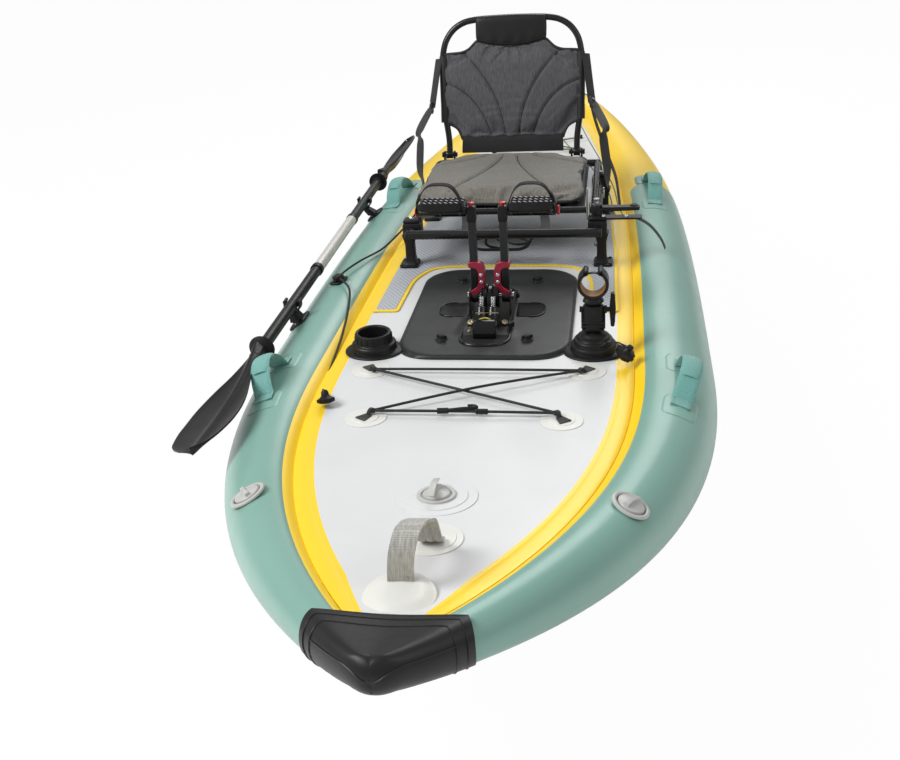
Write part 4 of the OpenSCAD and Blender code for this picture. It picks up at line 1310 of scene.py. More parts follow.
def cord(name, pts, r, mat="cord_black", body="hull", n=8, steps=8):
    g = Geo()
    g.tube(smooth_path(pts, steps), r, n=n)
    return g.done(name, mat, body, smooth=60)


lift = V(0, 0, 0.0)
A = anchors
c1 = cord("bungee_cord_rear", [A[(0, -1)], (A[(0, -1)] + A[(0, 1)]) / 2 + V(0, 0, 0.001), A[(0, 1)]],
          0.0030)
cord("bungee_cord_cross_a", [A[(0, -1)], (A[(0, -1)] + A[(1, 1)]) / 2 + V(0, 0, 0.0005), A[(1, 1)]], 0.0030)
cord("bungee_cord_cross_b", [A[(0, 1)], (A[(0, 1)] + A[(1, -1)]) / 2 + V(0, 0, 0.0072), A[(1, -1)]], 0.0030)
cord("bungee_cord_front", [A[(1, -1)], (A[(1, -1)] + A[(1, 1)]) / 2 + V(0, 0, 0.001), A[(1, 1)]], 0.0030)
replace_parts(c1, "bungee_cord")
g = Geo()
mid = (A[(1, -1)] + A[(1, 1)]) / 2
hook = [mid + V(-0.034, 0, 0.002), mid + V(-0.018, 0, 0.004), mid + V(0.0, 0.001, 0.006),
        mid + V(0.016, 0.003, 0.006),
        mid + V(0.026, 0.008, 0.006), mid + V(0.020, 0.013, 0.006), mid + V(0.008, 0.012, 0.006)]
g.tube(smooth_path(hook, 6), 0.0042, n=10)
g.tube([mid + V(-0.052, 0, 0.001), mid + V(-0.030, 0, 0.002)], 0.0062, n=12)
g.tube([mid + V(0.026, 0, 0.001), mid + V(0.050, 0, 0.001)], 0.0058, n=12)
g.done("bungee_hook", "plastic_black", smooth=50)
for q in A.values():
    g = Geo()
    g.tube([q + V(0.0055 * math.cos(a), 0.0055 * math.sin(a),
                  0.0005) for a in [k * math.pi / 6 for k in range(12)]],
           0.0030, n=8, closed=True)
    g.done("bungee_knot_%d" % (1000 * (q.x + 1) + 7000 * (q.y + 2)), "cord_black", smooth=60)

# rear bungee (mostly hidden behind the seat)
pts = {}
for i, y in enumerate((0.86, 1.02)):
    for s in (-1, 1):
        x = s * 0.155
        disc_on("rear_patch_%d_%d" % (i, s > 0), deck_point(x, y, 0.0004), deck_normal(y), 0.030, 0.030,
                [(1, 0), (0.98, 0.0014), (0.6, 0.0016), (0.58, 0.0028), (0.05, 0.003)], "pvc_white")
        g = Geo()
        o = deck_point(x, y, 0.003)
        g.lathe([(0.009, 0), (0.009, 0.002), (0.0055, 0.004), (0.0055, 0.008), (0.0075, 0.0095),
                 (0.006, 0.012),
                 (0, 0.0125)], o, deck_normal(y), n=24)
        g.done("rear_stud_%d_%d" % (i, s > 0), "plastic_black", smooth=40)
        pts[(i, s)] = deck_point(x, y, 0.0085)
rb = cord("rear_bungee_a", [pts[(0, -1)], pts[(1, 1)]], 0.0026, "cord_green")
cord("rear_bungee_b", [pts[(0, 1)], (pts[(0, 1)] + pts[(1, -1)]) / 2 + V(0, 0, 0.005), pts[(1, -1)]],
     0.0026,
     "cord_green")
cord("rear_bungee_c", [pts[(0, -1)] + V(0, 0, 0.001), pts[(0, 1)] + V(0, 0, 0.001)], 0.0026, "cord_green")
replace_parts(rb, "rear_bungee")

# ------------------------------------------------------------------ accessory bases and rod holder
BX, BY_ = 0.250, -0.840


def base_shape(s, name):
    o = V(s * BX, BY_, DECK + 0.0004)
    g = Geo()
    rings = []
    for sc, h in [(1.0, 0.0), (1.0, 0.0016), (0.985, 0.0030), (0.93, 0.0046), (0.85, 0.0060),
                  (0.80, 0.0068), (0.78, 0.0095), (0.765, 0.0125), (0.76, 0.0150)]:
        ring = []
        for i in range(72):
            a = 2 * math.pi * i / 72
            rx, ry = 0.066, 0.060
            lobe = 1 + (0.03 * math.cos(2 * a) if sc > 0.8 else 0)
            ring.append(o + V(rx * sc * lobe * math.cos(a), ry * sc * lobe * math.sin(a), h))
        rings.append(ring)
    g.loft(rings, caps=False)
    if s < 0:
        g.lathe([(0.0505, 0.0140), (0.0505, 0.0200), (0.0485, 0.0222), (0.0450, 0.0230), (0.0430, 0.0245),
                 (0.0420, 0.0270), (0.0420, 0.0420), (0.0412, 0.0452), (0.0392, 0.0468), (0.0368, 0.0470),
                 (0.0345, 0.0462), (0.0332, 0.0445), (0.0330, 0.0420), (0.0330, 0.0170), (0.0318, 0.0160),
                 (0.0120, 0.0160), (0.0105, 0.0180), (0.0, 0.0185)], o, n=64)
        for i in range(18):
            a = 2 * math.pi * i / 18
            m = Matrix.Translation(o) @ Matrix.Rotation(a, 4, "Z")
            g.box((0.0416, -0.0014, 0.0275), (0.0436, 0.0014, 0.0405), matrix=m)
        for i in range(3):
            a = 2 * math.pi * i / 3 + 0.4
            m = Matrix.Translation(o) @ Matrix.Rotation(a, 4, "Z")
            g.box((0.0305, -0.0060, 0.0200), (0.0336, 0.0060, 0.0250), matrix=m)
    else:
        g.lathe([(0.0505, 0.0140), (0.0505, 0.0195), (0.0480, 0.0220), (0.0445, 0.0228), (0.0432, 0.0250),
                 (0.0432, 0.0300), (0.0415, 0.0325), (0.0380, 0.0335), (0.0368, 0.0350), (0.0350, 0.0395),
                 (0.0318, 0.0408), (0.0290, 0.0420), (0.0262, 0.0452), (0.0215, 0.0478), (0.0165, 0.0500),
                 (0.0135, 0.0535), (0.0125, 0.0600), (0.0, 0.0605)], o, n=64)
    # fixing screws in the flange
    for i in range(4):
        a = math.pi / 4 + i * math.pi / 2
        q = o + V(0.0565 * math.cos(a), 0.0505 * math.sin(a), 0.0052)
        g.lathe([(0.0036, -0.002), (0.0036, 0.0008), (0.0028, 0.0018), (0.0014, 0.0021), (0.0012, 0.0012),
                 (0, 0.0012)],
                q, n=18)
    return g.done(name, "plastic_black", smooth=34)


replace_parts(base_shape(-1, "cup_base_body"), "cup_base")
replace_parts(base_shape(1, "holder_base_body"), "holder_base")

TILT = V(BX, BY_, 0.302)
# ball-clamp arm: two waisted halves round a ball
g = Geo()
rows = [(-0.0500, .0110, .0150), (-0.0470, .0190, .0190), (-0.0420, .0225, .0215), (-0.0340, .0240, .0225),
        (-0.0240, .0225, .0180), (-0.0120, .0215, .0135), (0.0000, .0225, .0130), (0.0090, .0225, .0110),
        (0.0115, .0190, .0070)]


def oval_ring(c, rx, ry, power, n=40):
    out = []
    for i in range(n):
        a = 2 * math.pi * i / n
        ca, sa = math.cos(a), math.sin(a)
        out.append(c + V(rx * math.copysign(abs(ca) ** power, ca), ry * math.copysign(abs(sa) ** power, sa),
                         0))
    return out


g.loft([oval_ring(TILT + V(0, 0, z), rx, ry, 0.72) for z, rx, ry in rows])
arm_body = g.done("holder_arm_body", "plastic_black", "holder_arm", smooth=40)
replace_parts(arm_body, "holder_arm")
g = Geo()
g.box(TILT + V(-0.0265, -0.0035, -0.046), TILT + V(-0.0215, 0.0035, 0.006))
g.box(TILT + V(0.0215, -0.0035, -0.046), TILT + V(0.0262, 0.0035, 0.006))
for z in (-0.044, -0.036, -0.028):
    g.box(TILT + V(-0.0245, -0.0205, z), TILT + V(0.0245, 0.0205, z + 0.0035))
g.done("holder_arm_ribs", "plastic_black", "holder_arm", bevel=0.0012)

# upper half, ring and liner ride with the tilting ring
RING = V(BX, BY_, 0.365)
g = Geo()
rows = [(0.0155, .0185, .0165), (0.0200, .0230, .0190), (0.0260, .0205, .0175), (0.0300, .0165, .0150),
        (0.0340, .0150, .0140)]
g.loft([oval_ring(TILT + V(0, 0, z), rx, ry, 0.72) for z, rx, ry in rows])
prof = [(-0.0180, 0.0325), (-0.0165, 0.0340), (0.0165, 0.0340), (0.0180, 0.0325), (0.0180, 0.0286),
        (0.0165, 0.0276),
        (-0.0165, 0.0276), (-0.0180, 0.0286)]
rings = []
for i in range(61):
    a = math.radians(118 + 304 * i / 60)
    rings.append([RING + V(r * math.cos(a), h, r * math.sin(a)) for h, r in prof])
g.loft(rings)
for s in (-1, 1):
    a = math.radians(90 + 31 * s)
    g.lathe([(0, -0.018), (0.0056, -0.018), (0.0062, -0.0165), (0.0062, 0.0165), (0.0056, 0.018),
             (0, 0.018)],
            RING + V(0.0308 * math.cos(a), 0, 0.0308 * math.sin(a)), (0, 1, 0), n=20)
ring_ob = g.done("holder_ring_body", "plastic_black", "holder_ring", smooth=34)
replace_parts(ring_ob, "holder_ring")
g = Geo()
rings = []
prof = [(-0.0165, 0.0275), (0.0165, 0.0275), (0.0165, 0.0260), (-0.0165, 0.0260)]
for i in range(49):
    a = math.radians(128 + 284 * i / 48)
    rings.append([RING + V(r * math.cos(a), h, r * math.sin(a)) for h, r in prof])
g.loft(rings)
g.done("holder_liner", "liner_brown", "holder_ring", smooth=50, bevel=0.0005)
g = Geo()
rings = []
for i in range(31):
    a = math.radians(40 + 100 * i / 30)
    rings.append([RING + V(r * math.cos(a), h, r * math.sin(a) - 0.004)
                  for h, r in [(-0.004, 0.0276), (0.004, 0.0276), (0.004, 0.0250), (-0.004, 0.0250)]])
g.loft(rings)
g.done("holder_keeper", "plastic_black", "holder_ring", smooth=50, bevel=0.0006)
# T-knob
g = Geo()
g.lathe([(0.0, -0.030), (0.0068, -0.030), (0.0068, -0.0255), (0.0040, -0.0250), (0.0040, 0.0225),
         (0.0092, 0.0232),
         (0.0092, 0.0290), (0.0056, 0.0300), (0.0052, 0.0370), (0.0, 0.0375)], TILT, (1, 0, 0), n=28)
rows = []
for i in range(25):
    f = -1 + 2 * i / 24
    w = 0.0078 * (1 - 0.22 * (1 - abs(f)) ** 2)
    d = 0.0058 + 0.0012 * math.cos(f * math.pi)
    z = 0.039 * f
    if abs(f) > 0.96:
        w *= 0.8
        d *= 0.8
    rows.append([TILT + V(0.0420 + d * ca, w * sa, z) for ca, sa in
                 [(math.copysign(abs(math.cos(t)) ** .6, math.cos(t)),
                   math.copysign(abs(math.sin(t)) ** .6, math.sin(t)))
                  for t in [2 * math.pi * q / 20 for q in range(20)]]])
g.loft(rows)
for i in range(9):
    z = -0.028 + 0.007 * i
    g.box(TILT + V(0.0372, -0.0082, z), TILT + V(0.0475, 0.0082, z + 0.0022))
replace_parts(g.done("holder_t_knob", "plastic_black", "holder_knob", smooth=40), "holder_knob")

# tethered plug of the port base
g = Geo()
o = V(0.317, -0.894, DECK + 0.0165)
g.lathe([(0, 0.0), (0.015, 0.0), (0.0205, 0.002), (0.0215, 0.006), (0.0205, 0.011), (0.013, 0.014),
         (0.0085, 0.020),
         (0.0062, 0.024), (0.0075, 0.029), (0, 0.031)], o, (0.45, -0.30, 0.72), n=36)
for i in range(10):
    a = 2 * math.pi * i / 10
    m = frame_matrix(o, (0.45, -0.30, 0.72), (1, 0, 0)) @ Matrix.Rotation(a, 4, "Z")
    g.box((0.0190, -0.0016, 0.003), (0.0226, 0.0016, 0.010), matrix=m)
plug = g.done("tether_plug", "plastic_black", smooth=36)
cord("plug_tether", [o + V(0.004, 0.002, 0.018), o + V(-0.012, 0.008, 0.026), o + V(-0.034, 0.020, 0.020),
                          V(0.272, -0.845, DECK + 0.018), V(0.262, -0.838, DECK + 0.014)], 0.0018)
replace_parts(plug, "tether_fittings")

# leash: anchor block on the starboard tube, plug by the bow, cord back to the seat
an = on_tube(-0.453, -8, 0.003, -1)
nr = tube_normal(-0.453, -8, -1)
m = frame_matrix(an, nr, (0.35, 1, 0))
tube_sheet("leash_patch", -1, -0.490, -0.416, -8, 19, "pvc_teal", 0.0024, True)
g = Geo()
g.prism(rrect(0.050, 0.030, 0.006, 5), 0, 0.006, m)
g.prism(rrect(0.026, 0.022, 0.005, 5), 0.006, 0.019, m)
g.lathe([(0.0055, 0), (0.0055, 0.004), (0.003, 0.006), (0, 0.006)], m @ V(0.018, 0, 0.006), nr, n=16)
g.lathe([(0.0055, 0), (0.0055, 0.004), (0.003, 0.006), (0, 0.006)], m @ V(-0.018, 0, 0.006), nr, n=16)
g.done("leash_anchor", "plastic_black", smooth=36, bevel=0.0015)
pl = V(-0.291, -1.128, 0.214)
g = Geo()
g.lathe([(0, 0.0), (0.011, 0.0), (0.0165, 0.002), (0.018, 0.006), (0.017, 0.010), (0.012, 0.013),
         (0.0085, 0.016),
         (0.0075, 0.024), (0.0045, 0.028), (0, 0.0285)], pl, (-0.15, 0.35, 1), n=32)
for i in range(9):
    m2 = frame_matrix(pl, (-0.15, 0.35, 1), (1, 0, 0)) @ Matrix.Rotation(2 * math.pi * i / 9, 4, "Z")
    g.box((0.0160, -0.0016, 0.003), (0.0190, 0.0016, 0.0100), matrix=m2)
g.done("leash_plug", "plastic_black", smooth=36)
l1 = cord("leash_cord_front", [an + nr * 0.012, on_tube(-0.52, 14, 0.014, -1), on_tube(-0.62, 26, 0.006,
        -1),
                               on_tube(-0.76, 36, 0.005, -1), on_tube(-0.90, 42, 0.006, -1),
                               on_tube(-1.02, 46, 0.007, -1), V(-0.300, -1.095, 0.222),
                               pl + V(-0.004, 0.010, 0.024)],
          0.0028)
cord("leash_cord_rear", [an + nr * 0.012, on_tube(-0.40, -2, 0.016, -1), on_tube(-0.32, 8, 0.014, -1),
                         on_tube(-0.20, 24, 0.012, -1), V(-0.330, -0.10, 0.228), V(-0.300, -0.02, 0.250),
                         V(-0.268, 0.02, 0.300)], 0.0028)
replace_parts(l1, "tether_cords")


# ------------------------------------------------------------------ seat
SX = -0.020
RAIL_X, RAIL_Z, FRONT_Y, REAR_Y, FRAME_Z, PIVOT_Z = 0.245, 0.308, -0.350, 0.200, 0.342, 0.376
LEAN = math.radians(13)


def back(x, h, d=0.0):
    """x across, h up the backrest from its pivot, d towards its rear."""
    return V(SX + x, REAR_Y + h * math.sin(LEAN) + d * math.cos(LEAN),
             PIVOT_Z + h * math.cos(LEAN) - d * math.sin(LEAN))


g = Geo()
g.tube([V(-RAIL_X - 0.008, FRONT_Y, RAIL_Z), V(RAIL_X + 0.008, FRONT_Y, RAIL_Z)], 0.0125, n=20)
for s in (-1, 1):
    g.tube(smooth_path([V(s * RAIL_X, FRONT_Y - 0.006, RAIL_Z), V(s * RAIL_X, -0.20, RAIL_Z),
                        V(s * RAIL_X, 0.02, RAIL_Z),
                        V(s * RAIL_X, 0.120, RAIL_Z), V(s * (RAIL_X - 0.004), 0.172, RAIL_Z + 0.012),
                        V(s * (RAIL_X - 0.010), REAR_Y, RAIL_Z + 0.032)], 8), 0.0120, n=18)
    g.tube([V(s * 0.236, -0.262, FRAME_Z), V(s * 0.236, REAR_Y, FRAME_Z)], 0.0090, n=16)
    for y in (-0.200, 0.060):
        g.tube([V(s * RAIL_X, y, RAIL_Z), V(s * 0.236, y, FRAME_Z)], 0.0080, n=14)
g.tube([V(-0.238, -0.262, FRAME_Z), V(0.238, -0.262, FRAME_Z)], 0.0090, n=16)
g.tube([V(-0.244, REAR_Y, FRAME_Z - 0.002), V(0.244, REAR_Y, FRAME_Z - 0.002)], 0.0112, n=18)
fr = g.done("seat_base_frame", "tube_black", smooth=50)
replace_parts(fr, "seat_frame")
# plugs in the tube ends
g = Geo()
for s in (-1, 1):
    g.lathe([(0.0127, 0.0), (0.0132, 0.002), (0.0127, 0.0045), (0.009, 0.006), (0, 0.0065)],
            V(s * (RAIL_X + 0.008), FRONT_Y, RAIL_Z), (s, 0, 0), n=24)
g.done("frame_end_plugs", "plastic_black", smooth=40)

# feet: moulded block on a flange, hose-clamp top
g = Geo()
for s in (-1, 1):
    for y in (-0.300, 0.100):
        cx = s * 0.262
        z0 = DECK + 0.0060
        g.prism(rrect(0.050, 0.060, 0.009, 5, cx, y), z0, z0 + 0.006)
        rows = []
        for z, w, l in ((0.006, .036, .046), (0.012, .029, .036), (0.026, .026, .031), (0.062, .025, .030),
                        (0.082, .034, .036), (0.088, .038, .038)):
            rows.append([V(x, yy, z0 + z) for x, yy in rrect(w, l, 0.007, 4, cx - s * 0.004, y)])
        g.loft(rows)
        rows = []
        for z, w, l in ((0.084, .046, .044), (0.092, .050, .046), (0.116, .050, .046), (0.122, .046, .042)):
            rows.append([V(x, yy, z0 + z) for x, yy in rrect(w, l, 0.006, 4, s * 0.247, y)])
        g.loft(rows)
        rows = []
        for z, w, l in ((0.1225, .044, .030), (0.128, .044, .030), (0.132, .036, .024)):
            rows.append([V(x, yy, z0 + z) for x, yy in rrect(w, l, 0.005, 4, s * 0.249, y)])
        g.loft(rows)
        for yy in (-0.023, 0.023):
            for xx in (-0.018, 0.018):
                g.lathe([(0.0042, 0), (0.0042, 0.0022), (0.003, 0.0032), (0, 0.0032)],
                        V(cx + xx, y + yy, z0 + 0.006), n=12)
feet = g.done("seat_feet_set", "plastic_black", smooth=36, bevel=0.0010)
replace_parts(feet, "seat_feet")
g = Geo()
for s in (-1, 1):
    for y in (-0.300, 0.100):
        o = V(s * 0.249, y, DECK + 0.0060 + 0.132)
        g.lathe([(0.0062, 0), (0.0062, 0.0008), (0.0052, 0.0010), (0.0052, 0.0042), (0.0044, 0.0050),
                 (0.0024, 0.0050),
                 (0.0022, 0.0030), (0, 0.0030)], o, n=6)
g.done("feet_bolts", "steel", smooth=30)

# hinge brackets
EYE = 0.194
g = Geo()
for s in (-1, 1):
    for x in (EYE - 0.018, EYE + 0.012):
        m = frame_matrix(V(SX + s * EYE, REAR_Y, 0) + V(s * (x - EYE), 0, 0), (s, 0, 0), (0, 1, 0))
        poly = []
        for k in range(13):
            a = math.pi * k / 12
            poly.append((0.0115 * math.cos(a), PIVOT_Z + 0.0115 * math.sin(a)))
        poly = [(p, q) for p, q in poly] + [(-0.0135, FRAME_Z), (-0.0115, FRAME_Z - 0.012),
                                            (0.0115, FRAME_Z - 0.012),
                                            (0.0135, FRAME_Z)]
        vs = []
        for off in (0.0, 0.0055):
            vs.append([V(SX + s * (x + off), REAR_Y + p, q) for p, q in poly])
        g.loft(vs)
    g.lathe([(0, -0.0235), (0.0068, -0.0235), (0.0068, -0.0185), (0.0050, -0.0184), (0.0050, 0.0184),
             (0.0085, 0.0185),
             (0.0085, 0.0225), (0.0060, 0.0240), (0, 0.0240)], V(SX + s * EYE, REAR_Y, PIVOT_Z), (s, 0, 0),
             n=20)
hb = g.done("hinge_bracket_set", "tube_black", smooth=36, bevel=0.0007)
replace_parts(hb, "hinge_brackets")

# ---- cushions
def simulate(ob, voxel, pressure, cap, pin=None, frames=16, shrink=-0.1):
    """Cloth inflation of a closed form; points may move no further than cap."""
    bpy.ops.object.select_all(action="DESELECT")
    ob.select_set(True)
    bpy.context.view_layer.objects.active = ob
    r = ob.modifiers.new("r", "REMESH")
    r.mode = "VOXEL"
    r.voxel_size = voxel
    bpy.ops.object.modifier_apply(modifier="r")
    start = np.array([v.co[:] for v in ob.data.vertices])
    if pin:
        vg = ob.vertex_groups.new(name="pin")
        idx = [i for i, p in enumerate(start) if pin(p)]
        vg.add(idx, 1.0, "REPLACE")
    c = ob.modifiers.new("c", "CLOTH")
    s = c.settings
    s.quality = 6
    s.mass = 0.3
    s.tension_stiffness = 14
    s.compression_stiffness = 14
    s.shear_stiffness = 6
    s.bending_stiffness = 0.8
    s.use_pressure = True
    s.uniform_pressure_force = pressure
    s.effector_weights.gravity = 0
    s.shrink_min = shrink
    if pin:
        s.vertex_group_mass = "pin"
    c.collision_settings.use_self_collision = False
    for fr_ in range(1, frames + 1):
        bpy.context.scene.frame_set(fr_)
    dg = bpy.context.evaluated_depsgraph_get()
    me = ob.evaluated_get(dg).to_mesh()
    end = np.array([v.co[:] for v in me.vertices])
    ob.evaluated_get(dg).to_mesh_clear()
    ob.modifiers.remove(c)
    bpy.context.scene.frame_set(1)
    d = end - start
    L = np.linalg.norm(d, axis=1, keepdims=True)
    d *= np.minimum(1.0, cap / np.maximum(L, 1e-9))
    start += d
    ob.data.vertices.foreach_set("co", start.ravel())
    ob.data.update()
    ob.vertex_groups.clear()


def curve_distance(px, py, line):
    best = np.full(px.shape, 9.0)
    for (ax, ay), (bx, by) in zip(line, line[1:]):
        dx, dy = bx - ax, by - ay
        t = np.clip(((px - ax) * dx + (py - ay) * dy) / (dx * dx + dy * dy), 0, 1)
        best = np.minimum(best, np.hypot(px - ax - t * dx, py - ay - t * dy))
    return best


def arc2(a, m, b, n=24):
    """A smooth plane curve through three points."""
    c = [2 * m[i] - 0.5 * (a[i] + b[i]) for i in (0, 1)]
    return [tuple((1 - t) ** 2 * a[i] + 2 * t * (1 - t) * c[i] + t * t * b[i] for i in (0, 1))
            for t in [k / n for k in range(n + 1)]]


def dense_panel(outline, thick, cell, to_world, crown, edge):
    """A closed padded panel over a plane outline: a fine grid front and back joined round the edge.
    crown(x, y, d) gives the front's extra height where d is the distance from the outline."""
    poly = np.array(outline)
    x0, y0 = poly.min(0)
    x1, y1 = poly.max(0)
    nx = int((x1 - x0) / cell) + 1
    ny = int((y1 - y0) / cell) + 1
    bm = bmesh.new()
    vs = [bm.verts.new((x, y, 0)) for x, y in outline]
    bm.faces.new(vs)
    for i in range(1, nx):
        x = x0 + (x1 - x0) * i / nx
        geom = bm.verts[:] + bm.edges[:] + bm.faces[:]
        bmesh.ops.bisect_plane(bm, geom=geom, plane_co=(x, 0, 0), plane_no=(1, 0, 0))
    for i in range(1, ny):
        y = y0 + (y1 - y0) * i / ny
        geom = bm.verts[:] + bm.edges[:] + bm.faces[:]
        bmesh.ops.bisect_plane(bm, geom=geom, plane_co=(0, y, 0), plane_no=(0, 1, 0))
    bmesh.ops.remove_doubles(bm, verts=bm.verts, dist=cell * 0.18)
    bm.verts.ensure_lookup_table()
    border = set()
    for e in bm.edges:
        if len(e.link_faces) == 1:
            border.add(e.verts[0].index)
            border.add(e.verts[1].index)
    pts = np.array([v.co[:2] for v in bm.verts])
    closed = list(outline) + [outline[0]]
    d = curve_distance(pts[:, 0], pts[:, 1], closed)
    n = len(pts)
    verts, faces = [], []
    round_ = lambda q: math.sqrt(max(1 - (1 - min(q / edge, 1.0)) ** 2, 0.0))
    for k in range(n):
        h = thick / 2 * round_(d[k]) + crown(pts[k, 0], pts[k, 1], d[k])
        verts.append(to_world(pts[k, 0], pts[k, 1], h))
    for k in range(n):
        verts.append(to_world(pts[k, 0], pts[k, 1], -thick / 2 * round_(d[k])))
    for f in bm.faces:
        idx = [v.index for v in f.verts]
        faces.append(idx)
        faces.append([i + n for i in idx[::-1]])
    for e in bm.edges:
        if len(e.link_faces) == 1:
            a, b = e.verts[0].index, e.verts[1].index
            faces.append([a, b, b + n, a + n])
    bm.free()
    return verts, faces


# backrest outline, in the plane of the backrest
half = [(0.000, 0.313, 0), (0.050, 0.316, 0), (0.104, 0.330, 0.004), (0.112, 0.322, 0.01),
        (0.128, 0.306, 0.02),
        (0.150, 0.298, 0.02), (0.192, 0.296, 0.006), (0.2085, 0.292, 0.006), (0.2095, 0.20, 0),
        (0.2070, 0.094, 0.008),
        (0.188, 0.090, 0.012), (0.166, 0.078, 0.015), (0.156, 0.056, 0.008), (0.153, 0.046, 0.002)]
outline = rounded_poly([(x, h, r) for x, h, r in half[:0:-1]] + [(-x, h, r) for x, h, r in half], 5)
SEAMS_BACK = [arc2((s * 0.148, 0.300), (s * 0.058, 0.186), (s * 0.020, 0.050)) for s in (-1, 1)]
SEAMS_BACK += [arc2((s * 0.209, 0.213), (s * 0.118, 0.160), (s * 0.061, 0.050)) for s in (-1, 1)]


def quilt(px, py, seams, depth, width):
    out = np.zeros_like(px)
    for line in seams:
        d = curve_distance(px, py, line)
        out = np.maximum(out, np.exp(-(d / width) ** 2))
    return -depth * out


def crown_back(x, y, d):
    return 0.006 * smooth01(d / 0.05)


def back_world(x, h, up):
    return back(x, h, -up + 0.001)


verts, faces = dense_panel(outline, 0.017, 0.007, back_world, crown_back, 0.012)
panel_ob = make("backrest_cushion", verts, faces, ["fabric_back", "piping_black"], "backrest", smooth=60)


def plane_coords(ob, inverse):
    co = np.array([v.co[:] for v in ob.data.vertices])
    return co, np.array([inverse(p) for p in co])


def back_inverse(p):
    q = Vector(p) - V(SX, REAR_Y, PIVOT_Z)
    return (q.x, q.y * math.sin(LEAN) + q.z * math.cos(LEAN),
            -(q.y * math.cos(LEAN) - q.z * math.sin(LEAN)))


def sew(ob, inverse, forward, seams, depth, width, wrinkle=None, front_only=True):
    co, pl = plane_coords(ob, inverse)
    dep = quilt(pl[:, 0], pl[:, 1], seams, depth, width)
    front = pl[:, 2] > 0.0 if front_only else np.ones(len(pl), bool)
    dz = np.where(front, dep, 0.0)
    if wrinkle:
        dz = dz + np.where(front, np.array([wrinkle(a, b) for a, b in pl[:, :2]]), 0.0)
    for i, (a, b, c) in enumerate(pl):
        if dz[i]:
            co[i] = forward(a, b, c + dz[i])[:]
    ob.data.vertices.foreach_set("co", co.ravel())
    ob.data.update()


def back_wrinkle(x, h):
    w = 0.0
    for cx, ch, l, t in ((-0.05, 0.135, 0.05, 0.10), (0.035, 0.120, 0.04, -0.1), (-0.07, 0.112, 0.04, 0.2),
                         (0.01, 0.150, 0.05, 0.05), (0.13, 0.105, 0.03, 0.8), (-0.15, 0.12, 0.03, -0.7),
                         (0.0, 0.098, 0.06, 0.0)):
        dx, dh = x - cx, h - ch
        a = dx * math.cos(t) + dh * math.sin(t)
        b = -dx * math.sin(t) + dh * math.cos(t)
        w += 0.0011 * math.exp(-(a / l) ** 2) * (
            math.exp(-(b / 0.006) ** 2) - math.exp(-((b - 0.011) / 0.006) ** 2))
    return w + 0.0009 * noise.noise(Vector((x * 26, h * 16, 3.0)))


simulate(panel_ob, 0.0052, 3.2, 0.007, pin=lambda p: abs(back_inverse(p)[2]) < 0.003 and
         curve_distance(np.array([back_inverse(p)[0]]), np.array([back_inverse(p)[1]]),
                        outline + [outline[0]])[0] < 0.006)
sub = panel_ob.modifiers.new("s", "SUBSURF")
sub.levels = sub.render_levels = 1
bpy.ops.object.select_all(action="DESELECT")
panel_ob.select_set(True)
bpy.context.view_layer.objects.active = panel_ob
bpy.ops.object.modifier_apply(modifier="s")
sew(panel_ob, back_inverse, lambda a, b, c: back(a, b, -c), SEAMS_BACK, 0.0052, 0.0055, back_wrinkle)
finish_mesh(panel_ob, 70)
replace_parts(panel_ob, "backrest_panel")


FRONTS = {}


def surface_of(ob, inverse, x, y, default):
    """Height of the front surface near a plane point."""
    if ob.name not in FRONTS:
        _, plane = plane_coords(ob, inverse)
        FRONTS[ob.name] = plane[plane[:, 2] > 0.0]
    front = FRONTS[ob.name]
    d = np.hypot(front[:, 0] - x, front[:, 1] - y)
    k = np.argsort(d)[:5]
    return float(front[k, 2].mean()) if d[k[0]] < 0.012 else default


for i, line in enumerate(SEAMS_BACK):
    path = [back(x, h, -(surface_of(panel_ob, back_inverse, x, h, 0.008) + 0.0001)) for x, h in line[1:-1]]
    stitches("back_stitch_%d" % i, path, 0.0052, 0.0040, 0.00055, "thread_black", "backrest")
    g = Geo()
    g.tube(path, 0.00115, n=6)
    g.done("back_seam_%d" % i, "piping_black", "backrest", smooth=60)
# piping round the cushion
g = Geo()
g.tube([back(x * 1.0015, h, -0.001) for x, h in outline], 0.0042, n=8, closed=True)
g.done("backrest_piping", "piping_black", "backrest", smooth=60)

# headrest: padded vinyl sleeve over the frame's top tube
HT = 0.392
rings = []
nn = 33
for i in range(nn):
    f = -1 + 2 * i / (nn - 1)
    x = 0.106 * f
    low = 0.313 + 0.017 * f * f
    top = HT + 0.0105 - 0.004 * f * f
    thick = 0.0175 * (1 - 0.30 * abs(f) ** 8)
    ring = []
    for k in range(36):
        a = 2 * math.pi * k / 36
        ca, sa = math.cos(a), math.sin(a)
        hh = (low + top) / 2 + (top - low) / 2 * math.copysign(abs(ca) ** 0.55, ca)
        dd = thick * math.copysign(abs(sa) ** 0.7, sa)
        dd *= 1 - 0.25 * (1 - ca) / 2
        ring.append((x, hh, dd))
    rings.append(ring)
g = Geo()
g.loft([[back(x, h, d) for x, h, d in r] for r in rings])
head = g.done("headrest_sleeve", "vinyl_black", "backrest", smooth=60)


def head_wrinkle(ob):
    co = np.array([v.co[:] for v in ob.data.vertices])
    for i, p in enumerate(co):
        x, h, c = back_inverse(p)
        if c > 0.004:
            k = smooth01((0.375 - h) / 0.05)
            w = 0.0018 * k * (math.sin(x * 150 + 2 * math.sin(h * 70)) * 0.5 + noise.noise(Vector((x * 40,
                    h * 18, 1))))
            co[i] = back(x, h, -(c + w))[:]
    ob.data.vertices.foreach_set("co", co.ravel())
    ob.data.update()


